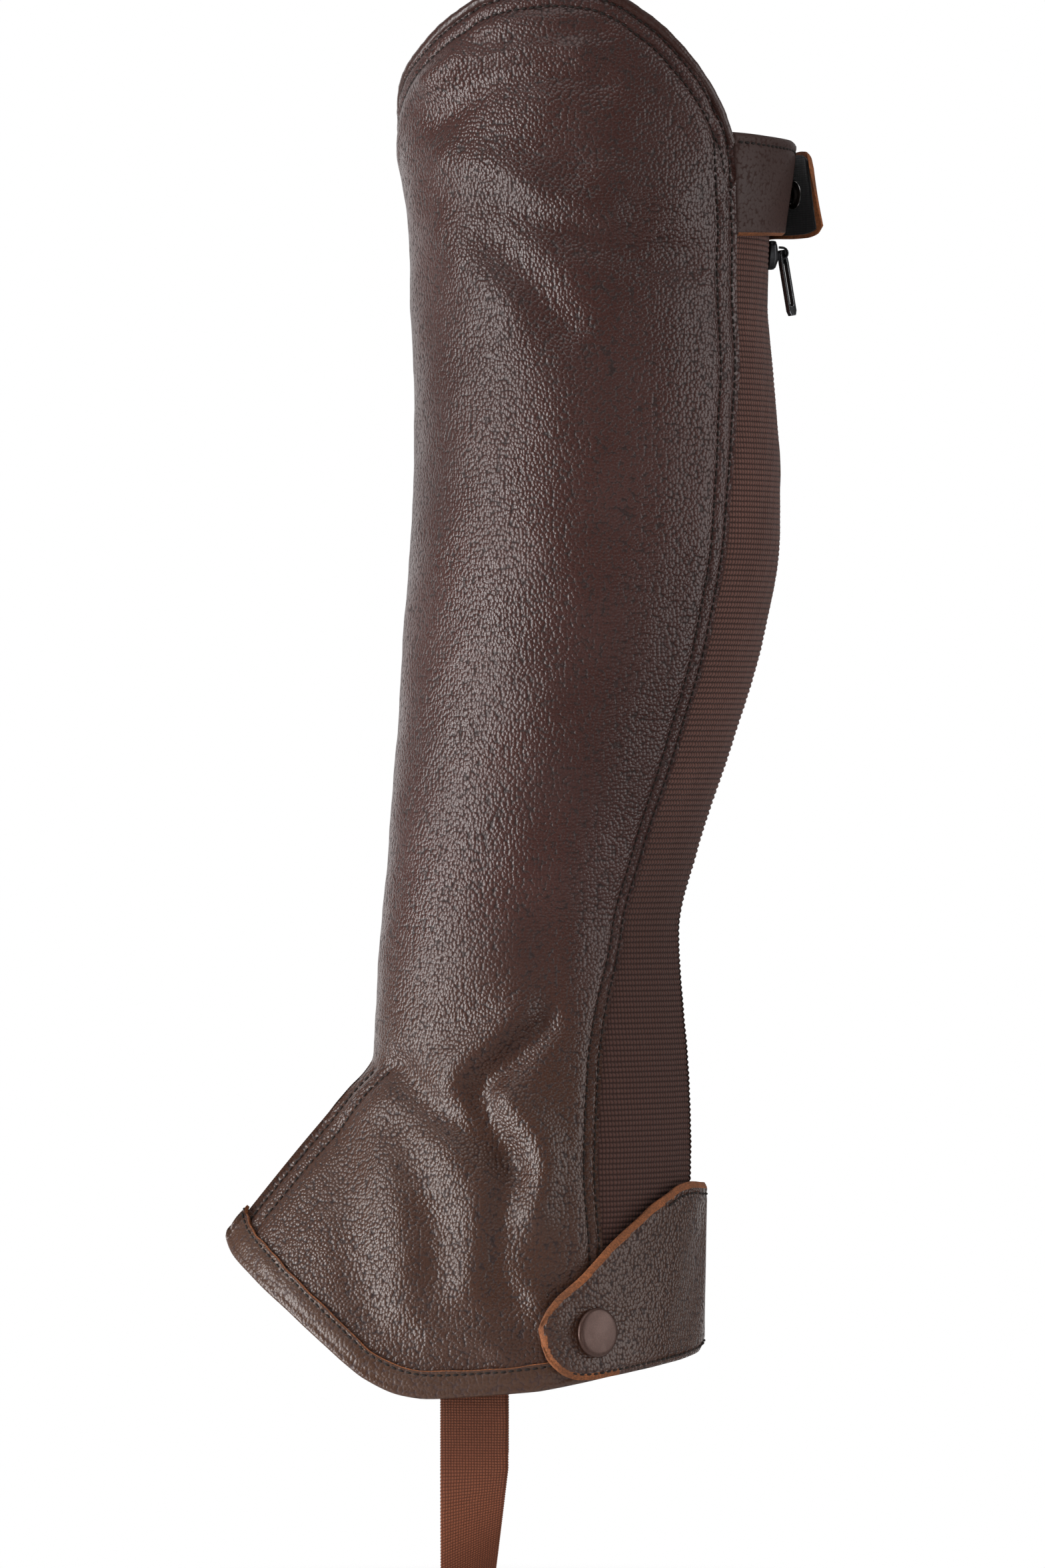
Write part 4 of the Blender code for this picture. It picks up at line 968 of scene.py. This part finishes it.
def add_rounded(name, node, faces, materials, raw_edge=1.4, raw_from=True, uv=None, step=2):
    """A closed sheet whose face rolls down to its cut edge.

    The roll has the edge's own colour wherever raw_from, a mask of the grid, allows it.
    """
    outer, inner = faces
    away = rim_distance(outer)
    drop = 0.62 * np.clip(1.0 - away / raw_edge, 0.0, 1.0) ** 1.8
    face = outer + (inner - outer) * drop[..., None]
    points, faces, slots = shell(face, inner[::step, ::step], step)
    middle = 0.25 * (away[:-1, :-1] + away[1:, :-1] + away[:-1, 1:] + away[1:, 1:])
    raw = (middle < 0.85 * raw_edge) & np.broadcast_to(raw_from, away.shape)[:-1, :-1]
    slots[:raw.size] = raw.ravel().astype(int)
    uv = None if uv is None else shell_uv(uv, step)
    return add_mesh(name, points, faces, materials, node, slots=slots, uv=uv)


def between(columns, rows, top_of, foot_of):
    """A grid of turns and heights between two edges."""
    top, foot = top_of(columns), foot_of(columns)
    share = np.linspace(0.0, 1.0, rows)[:, None]
    return np.repeat(columns[None, :], rows, axis=0), top + (foot - top) * share


def patch_turn(column, height):
    """Turn on the patch that brings its front end against the leather's rear seam."""
    first, last = PATCH[0][0], PATCH[-1][0]
    reach = seam_at(height) - 0.25 - first
    return first + (column - first) * reach / (last - first)


def add_top_patch():
    """The leather patch over the top of the elastic and the zip."""
    rows, columns = PATCH_GRID
    columns = np.linspace(PATCH[0][0], PATCH[-1][0], columns)
    column, height = between(columns, rows, patch_top_at, patch_foot_at)
    from_top = height[:1] - height
    off = patch_off_at(column) + swells(from_top, (-0.3, PATCH_ROW, 0.8))
    off += 0.25 * bell(column + 1.0, 5.0) * bell(from_top, 9.0) + 0.12 * np.sin(0.35 * column + 0.2 * height)
    raw = (np.arange(rows)[:, None] > PATCH_RAW_ROW) & (column < PATCH_RAW_END)
    return add_rounded("patch", "top_patch", layer(patch_turn(column, height), height, off, LEATHER),
                       (PATCH_HIDE, RAW_EDGE, SUEDE), 1.2, raw)


def top_tab_face(off):
    """One face of the top tab: hugging the inner leather, then sprung away from the zip."""
    share = np.linspace(0.0, 1.0, 5)[:, None]
    top, foot = TOP_TAB_HEIGHTS
    root = np.array(TOP_TAB_ROOT, dtype=float)[None, :]
    held = moved(root + 0 * share, top + (foot - top) * share + 0 * root, off + 0 * share * root)
    free = np.array(TOP_TAB_FREE)
    upper, lower = free[:, [0, 1, 4]], free[:, [2, 3, 5]]
    sprung = upper + (lower - upper) * share[..., None]
    side = unit(np.cross(np.gradient(sprung, axis=1), (0.0, 0.0, -1.0)))
    return np.concatenate([held, sprung + side * (off - TOP_TAB_OFF)], axis=1)


def refined(grid, rows, columns):
    """A grid of points at a closer spacing, along smooth curves."""
    for axis, count in ((0, rows), (1, columns)):
        old = np.arange(grid.shape[axis], dtype=float)
        lines = np.moveaxis(grid, axis, 0)
        table = np.concatenate([old[:, None], lines.reshape(len(old), -1)], axis=1)
        new = np.linspace(0.0, old[-1], count)
        fine = np.stack([curve(new) for curve in curves(table)], axis=1)
        grid = np.moveaxis(fine.reshape((count,) + lines.shape[1:]), 0, axis)
    return grid


def tab_layer(off, wall):
    """The two faces of one of the top tab's layers, the one on the zip's side last."""
    return [refined(top_tab_face(face_off), *TOP_TAB_GRID) for face_off in (off + wall, off)]


def add_top_tab():
    """The open top tab: leather outside, black lining inside."""
    hide = tab_layer(TOP_TAB_LEATHER_OFF, LEATHER)
    tab = add_rounded("tab", "top_tab", hide, (GRAIN, RAW_EDGE, RAW_EDGE))
    cloth = tab_layer(TOP_TAB_OFF, LINING + GAP)
    cloth = [face[LINING_INSET:-LINING_INSET, :-LINING_SHORT] for face in cloth]
    uv = np.stack([run_across(cloth[0]), cloth[0][..., 2]], axis=-1)
    return tab, add_rounded("tab_lining", "top_tab_lining", cloth, (LINING_CLOTH,) * 3, 0.5, uv=uv)


def ankle_lift(turn):
    """How far the ankle tab's free end is sprung off the leather."""
    return 2.8 * np.clip((turn - 56.0) / 34.0, 0.0, 1.0) ** 1.4


def add_ankle_tab():
    """The tab that wraps the heel end of the zip and is snapped on the outer leather."""
    first, last = ANKLE_TAB[0][0], ANKLE_TAB[-1][0]
    columns = np.concatenate([np.linspace(first, 0.0, 21)[:-1], np.linspace(0.0, last, 135)])
    turn, height = between(columns, 85, ankle_top_at, ankle_foot_at)
    from_foot, from_top = height - height[-1:], height[:1] - height
    place, level = ANKLE_SNAP
    from_snap = np.hypot((turn - place) * 0.75, height - level)
    off = ANKLE_TAB_OFF + LEATHER + ankle_lift(turn) + 0.14 * np.sin(0.21 * turn + 0.13 * height)
    off += swells(from_foot, (-0.35, ANKLE_ROWS[0], 0.8)) + swells(from_top, (-0.25, ANKLE_ROWS[1], 0.9))
    off += swells(from_snap, (-0.5, 0.0, 9.0), (0.35, 12.5, 4.0))
    return add_rounded("ankle_strap", "ankle_tab", layer(turn, height, off, LEATHER),
                       (GRAIN, RAW_EDGE, SUEDE), 2.4, (from_top < from_foot) | (turn > 62.0))


def add_turned(name, centre, axis, profile, material, node=None):
    """A turned piece whose profile of radius and rise runs from its crown to its base."""
    axis = unit(axis)
    side = unit(np.cross(axis, (0.0, 0.0, 1.0)))
    arms = circle(side, np.cross(axis, side), 48)
    points, faces = loft([centre + axis * rise + radius * arms for radius, rise in profile[::-1]])
    add_mesh(name, points, faces, (material,), node, sharp=35.0)


def add_ankle_snap():
    """A painted cap with a rolled rim round a shallow dish."""
    turn, height = ANKLE_SNAP
    place = moved(turn, height, ANKLE_TAB_OFF + LEATHER + ankle_lift(turn))
    axis = outward(turn, height, skin) + SNAP_TILT * np.array((1.0, 0.0, 0.0))
    add_turned("snap_cap", place, axis, SNAP_PROFILE, SNAP_METAL, node="ankle_snap_cap")


def add_tab_snap():
    """The top tab's snap: a socket on its lining and a cap outside."""
    inside, outside = (refined(top_tab_face(off), *SNAP_GRID)[TOP_TAB_SNAP]
                       for off in (TOP_TAB_OFF, TOP_TAB_LEATHER_OFF + LEATHER))
    axis = unit(outside - inside)
    add_turned("tab_socket", inside, -axis, SOCKET_PROFILE, SOCKET_METAL)
    add_turned("tab_cap", outside, axis, TAB_CAP_PROFILE, SNAP_METAL)


def add_zip_tapes():
    """Two woven tapes side by side, the inner one running under the inner leather."""
    levels = np.linspace(ZIP_TOP, ZIP_FOOT, 190)
    pieces = []
    for name, start, end, strips in (("outer", ZIP_SIDE - 0.5 * GAP, ZIP_TAPE_START, 8),
                                     ("inner", ZIP_TAPE_END, ZIP_SIDE + 0.5 * GAP, 12)):
        side, height = np.meshgrid(np.linspace(start, end, strips + 1), levels)
        faces = layer(back_turn(side, height), height, -ZIP_DEPTH, TAPE)
        pieces.append(add_rounded("tape_" + name, "zip_tape_" + name, faces, (TAPE_CLOTH,) * 3, 0.4,
                                  uv=np.stack([side, height], axis=-1), step=1))
    return pieces


def zip_frame(height, off):
    """Places on the zip's centre line with their outward, sideways and upward directions."""
    height = np.asarray(height, dtype=float)
    turn = back_turn(ZIP_SIDE, height)
    out = outward(turn, height, skin)
    across = unit(np.cross((0.0, 0.0, 1.0), out))
    return skin(turn, height) + out * off, out, across, np.cross(out, across)


def add_zip_teeth():
    """Moulded teeth, meshed below the slider and parted above it."""
    count = int((ZIP_TOP - ZIP_FOOT - 6.0) / TOOTH_PITCH)
    levels = ZIP_TOP - 3.0 - TOOTH_PITCH * np.arange(count)
    levels = levels[(levels < SLIDER_TOP - SLIDER_LENGTH + 0.5) | (levels > SLIDER_TOP - 0.5)]
    parted = 0.75 * np.clip((levels - SLIDER_TOP) / 12.0, 0.0, 1.0)
    proud = np.interp(levels, *TEETH_FADE)
    teeth = []
    for hand, drop in ((1, 0.0), (-1, 0.5 * TOOTH_PITCH)):
        frames = zip_frame(levels - drop, -ZIP_DEPTH + 0.05)
        for place, out, across, up, apart, rise in zip(*frames, parted, proud):
            teeth.append([section(place + hand * across * (reach + apart), up * half, out * thick * rise,
                                  TOOTH_RING) for reach, half, thick in TOOTH_SHAPE[::hand]])
    points, faces = joined(teeth)
    add_mesh("zip_teeth", points, faces, (TOOTH_NYLON,))


def bevel(piece, width):
    """Rounds a piece's sharp edges."""
    modifier = piece.modifiers.new("Bevel", "BEVEL")
    modifier.width = width * METRES
    modifier.segments = 3
    modifier.limit_method = "ANGLE"
    modifier.angle_limit = math.radians(28)
    modifier.harden_normals = False


def add_slider():
    """The zip's slider, a low body that tapers towards its foot."""
    place, out, across, up = zip_frame(SLIDER_TOP - 0.5 * SLIDER_LENGTH, -LEATHER)
    points, faces = loft([
        section(place + up * along * SLIDER_LENGTH, across * width, out * thick, SLIDER_RING)
        for along, width, thick in SLIDER_SHAPE])
    bevel(add_mesh("slider", points, faces, (GUNMETAL,), "zip_slider", sharp=60.0), 0.3)


def add_bridge():
    """The small arch on the slider that the pull hangs from."""
    place, out, across, up = zip_frame(HINGE_HEIGHT, HINGE_OFF)
    turns = np.radians(np.linspace(0.0, 180.0, 19))
    arms = [(up, BRIDGE_DROP)] + [(math.cos(a) * up + math.sin(a) * out, 0.0) for a in turns]
    low, high = BRIDGE_RADII
    points, faces = loft([
        place + out * drop + 0.5 * (low + high) * arm
        + circle(0.5 * BRIDGE_WIDTH * across, 0.5 * (high - low) * arm, 12)
        for arm, drop in arms + [(-up, BRIDGE_DROP)]])
    add_mesh("bridge", points, faces, (GUNMETAL,), "zip_bridge", sharp=60.0)


def add_pull():
    """The zip's pull, a slim frame hanging from the slider and leaning away from the leg."""
    place, out, across, up = zip_frame(HINGE_HEIGHT, HINGE_OFF)
    lean, twist = math.radians(PULL_LEAN), math.radians(PULL_TWIST)
    down = -math.cos(lean) * up + math.sin(lean) * out
    across = math.cos(twist) * across + math.sin(twist) * np.cross(down, across)
    face = np.cross(across, down)
    points = []
    for level in (0.5, -0.5):
        for outline in (PULL_OUTLINE, PULL_WINDOW):
            ring = outline + tuple((-side, along) for side, along in reversed(outline))
            points += section(place + face * level * PULL_WALL, across, down, ring)
    count = 2 * len(PULL_OUTLINE)
    faces = []
    for k in range(count):
        m = (k + 1) % count
        faces += [(k, m, count + m, count + k), (2 * count + m, 2 * count + k, 3 * count + k, 3 * count + m),
                  (m, k, 2 * count + k, 2 * count + m), (count + k, count + m, 3 * count + m, 3 * count + k)]
    bevel(add_mesh("pull", points, faces, (PULL_METAL,), "zip_pull", body="pull", sharp=60.0), 0.28)


def add_strap():
    """The stirrup strap, a ribbed loop from the outer hem under the foot to the inner hem."""
    depth = STRAP_BEND - 0.5 * (STRAP_FRONT_FOOT + STRAP_REAR_FOOT)
    bend = 0.25 * math.pi * (STRAP_FRONT_SPAN + STRAP_REAR_SPAN + 2 * depth)
    drop = STRAP_TOP - STRAP_BEND
    length = 2 * drop + bend
    count = int(length / STRAP_RIB) * 3
    along = length * np.arange(count + 1)[:, None] / count
    angle = math.pi * np.clip((along - drop) / bend, 0.0, 1.0)
    grow = np.maximum(drop - along, 0.0) + np.maximum(along - drop - bend, 0.0)
    rib = 0.11 * np.sin(2 * math.pi * along / STRAP_RIB)
    across = np.concatenate([[-0.02], np.linspace(0.0, 1.0, 17), [1.02]])
    share = np.concatenate([across[::-1], across])
    facing = np.repeat((1.0, -1.0), len(across))
    end = np.sign(share - 0.5) * ((share < 0.0) | (share > 1.0))
    off = 0.5 * STRAP_WALL + np.where(end == 0.0, facing * (0.5 * STRAP_WALL) + facing * rib, 0.0)
    drift = STRAP_REAR_X - STRAP_FRONT_X + STRAP_REAR_DRIFT * np.sin(angle)
    x = STRAP_FRONT_X + drift * share + end * (rib - 0.1)
    span = STRAP_FRONT_SPAN + (STRAP_REAR_SPAN - STRAP_FRONT_SPAN) * share + off
    deep = STRAP_BEND - (STRAP_FRONT_FOOT + (STRAP_REAR_FOOT - STRAP_FRONT_FOOT) * share) + off
    points, faces = loft(np.stack(
        [x, -span * np.cos(angle), STRAP_BEND - deep * np.sin(angle) + grow], axis=-1))
    uv = np.stack(np.broadcast_arrays(10.0 + STRAP_WIDTH * share, along), axis=-1).reshape(-1, 2)
    return add_mesh("strap", points, faces, (STRAP_KNIT,), "stirrup_strap", uv=uv, sharp=70.0)


def add_stitches(name, places, sink=0.0):
    """Sewn stitches along rows, each given by its points and the outward directions there."""
    stitches = []
    for line, normal in places:
        reach = np.concatenate([[0.0], np.cumsum(np.linalg.norm(np.diff(line, axis=0), axis=1))])
        middle = (np.arange(int(reach[-1] / STITCH_PITCH)) + 0.5) * STITCH_PITCH
        start, centre, end, out = (
            np.stack([np.interp(middle + ahead, reach, values[:, a]) for a in range(3)], axis=-1)
            for ahead, values in ((-0.6, line), (0.0, line), (0.6, line), (0.0, normal)))
        along = unit(end - start)
        out = unit(out - along * (out * along).sum(axis=-1, keepdims=True))
        arms = STITCH_RADIUS * circle(np.cross(along, out), out, 6)
        rings = [(centre + along * place * 0.5 * STITCH_LENGTH
                  + out * (0.3 * drop - sink + 0.5 * STITCH_RADIUS))[:, None] + width * arms
                 for place, width, drop in STITCH_SHAPE]
        stitches += list(np.stack(rings, axis=1))
    points, faces = joined(stitches)
    return add_mesh(name, points, faces, (THREAD,), sharp=80.0)


def add_leather_stitches():
    """Rows along the rear seam, the zip's edge, the top and both edges of the instep."""
    levels = np.arange(SEAM_ROW_TOP, HEM_LEVEL, -1.0)
    turns = np.arange(*TOP_ROW_SPAN, ROW_STEP)
    low = np.arange(SLIT_TOP - 3.0, TOE_ROW_FOOT, -ROW_STEP)
    places = [(past_seam(distance, levels), levels) for distance in SEAM_ROWS]
    places += [(before_rear(distance, levels), levels) for distance in REAR_ROWS]
    places += [(turns, top_height(turns, distance)) for distance in TOP_ROWS]
    for distance in TOE_ROWS:
        places += [(toe_turn(distance, low), low), (360.0 - toe_turn(distance, low), low)]
    return add_stitches("leather_stitches",
                        [(leather_face(*place), outward(*place, skin)) for place in places])


def add_trim_stitches():
    """Rows on the hem binding, the top patch and the ankle tab."""
    hem, patch_row = np.arange(*HEM_ROW_SPAN, ROW_STEP), np.arange(*PATCH_ROW_SPAN, -ROW_STEP)
    foot, top = (np.arange(*span, -ROW_STEP) for span in ANKLE_ROW_SPANS)
    patch_level = patch_top_at(patch_row) - PATCH_ROW
    rows = []
    for turns, level, off in (
            (hem, hem_height(hem) + HEM_BAND - HEM_ROW, GAP + HEM_WALL - 0.15),
            (patch_turn(patch_row, patch_level), patch_level, patch_off_at(patch_row) - 0.25),
            (foot, ankle_foot_at(foot) + ANKLE_ROWS[0], ANKLE_TAB_OFF + LEATHER - 0.3 + ankle_lift(foot)),
            (top, ankle_top_at(top) - ANKLE_ROWS[1], ANKLE_TAB_OFF + LEATHER - 0.2)):
        line = part_at_slit(moved(turns, level, off), turns, SLIT_EDGE + off)
        rows.append((line, outward(turns, level, skin)))
    return add_stitches("trim_stitches", rows, sink=0.12)


def add_floor():
    """Pale floor that fades out evenly away from the object."""
    material, tree, place = new_material("studio_floor")
    finished(material, {"Base Color": (0.9, 0.9, 0.9, 1.0), "Roughness": 0.9})
    reach = put(tree, "VectorMath", {0: place}, operation="LENGTH").outputs["Value"]
    mix = put(tree, "MixShader", {0: remap(tree, reach, *FLOOR_FADE),
                                  1: tree.nodes["Principled BSDF"].outputs[0],
                                  2: put(tree, "BsdfTransparent", {}).outputs[0]})
    tree.links.new(mix.outputs[0], tree.nodes["Material Output"].inputs["Surface"])
    x_axis, y_axis = np.eye(3)[:2]
    arms = circle(x_axis, y_axis, 96)
    points, faces = loft([radius * arms for radius in FLOOR_RINGS])
    floor = link("studio_floor", new_mesh("studio_floor", points, faces[:-2], (material,)))
    floor.location = Vector(FLOOR_PLACE) * METRES


def add_light(name, azimuth, elevation, distance, width, height, power, mirrored):
    """A soft box on a sphere round the object's middle. Azimuth 0 is the camera's side, 90 is +X."""
    data = bpy.data.lights.new(name, "AREA")
    data.shape = "RECTANGLE"
    data.size, data.size_y = width, height
    data.energy = power
    light = link(name, data)
    a, e = math.radians(azimuth), math.radians(elevation)
    way = Vector((math.sin(a) * math.cos(e), -math.cos(a) * math.cos(e), math.sin(e)))
    light.location = Vector(LIT_PLACE) + way * distance
    light.rotation_mode = "QUATERNION"
    light.rotation_quaternion = way.to_track_quat("Z", "Y")
    light.visible_camera = False
    light.visible_glossy = mirrored


def add_world():
    """White surroundings: bright behind the object, dim on the camera's side."""
    world = bpy.data.worlds.new("studio")
    world.use_nodes = True
    bpy.context.scene.world = world
    tree = world.node_tree
    axes = put(tree, "SeparateXYZ", {0: put(tree, "TexCoord", {}).outputs["Generated"]}).outputs
    behind = remap(tree, axes[1], 0.3, 0.98, 0.02, 1.0)
    to_left = remap(tree, axes[0], -0.3, 0.5, 0.5, 0.15)
    above = remap(tree, axes[2], 0.2, 1.0, 0.0, 0.4)
    strength = maths(tree, "MULTIPLY_ADD", behind, to_left, above)
    seen = put(tree, "LightPath", {}).outputs["Is Camera Ray"]
    lit = maths(tree, "MULTIPLY", strength, maths(tree, "SUBTRACT", 1.0, seen))
    fill(tree, tree.nodes["Background"], {"Strength": maths(tree, "ADD", lit, seen),
                                          "Color": (1.0, 1.0, 1.0, 1.0)})


def add_camera():
    """A long lens square-on to the outer side."""
    data = bpy.data.cameras.new("camera")
    camera = link("camera", data)
    x = (0.5 * PHOTO_WIDTH - AXIS_PIXEL[0]) * MM_PER_PIXEL
    z = (AXIS_PIXEL[1] - 0.5 * PHOTO_HEIGHT) * MM_PER_PIXEL
    camera.location = (x * METRES, -CAMERA_DISTANCE * METRES, z * METRES)
    camera.rotation_euler = (math.radians(90.0), 0.0, 0.0)
    data.sensor_width = 36.0
    data.lens = data.sensor_width * CAMERA_DISTANCE / (PHOTO_HEIGHT * MM_PER_PIXEL)
    data.clip_start, data.clip_end = 0.1, 30.0
    bpy.context.scene.camera = camera


leather = add_leather()
elastic = add_elastic()
binding = add_hem_binding()
piping = add_piping()
patch = add_top_patch()
tab, lining = add_top_tab()
ankle_tab = add_ankle_tab()
add_ankle_snap()
add_tab_snap()
tapes = add_zip_tapes()
add_zip_teeth()
add_slider()
add_bridge()
add_pull()
strap = add_strap()
leather_stitches = add_leather_stitches()
trim_stitches = add_trim_stitches()

add_floor()
add_world()
for light in LIGHTS:
    add_light(*light)
add_camera()
bpy.context.scene.view_settings.view_transform = "Standard"
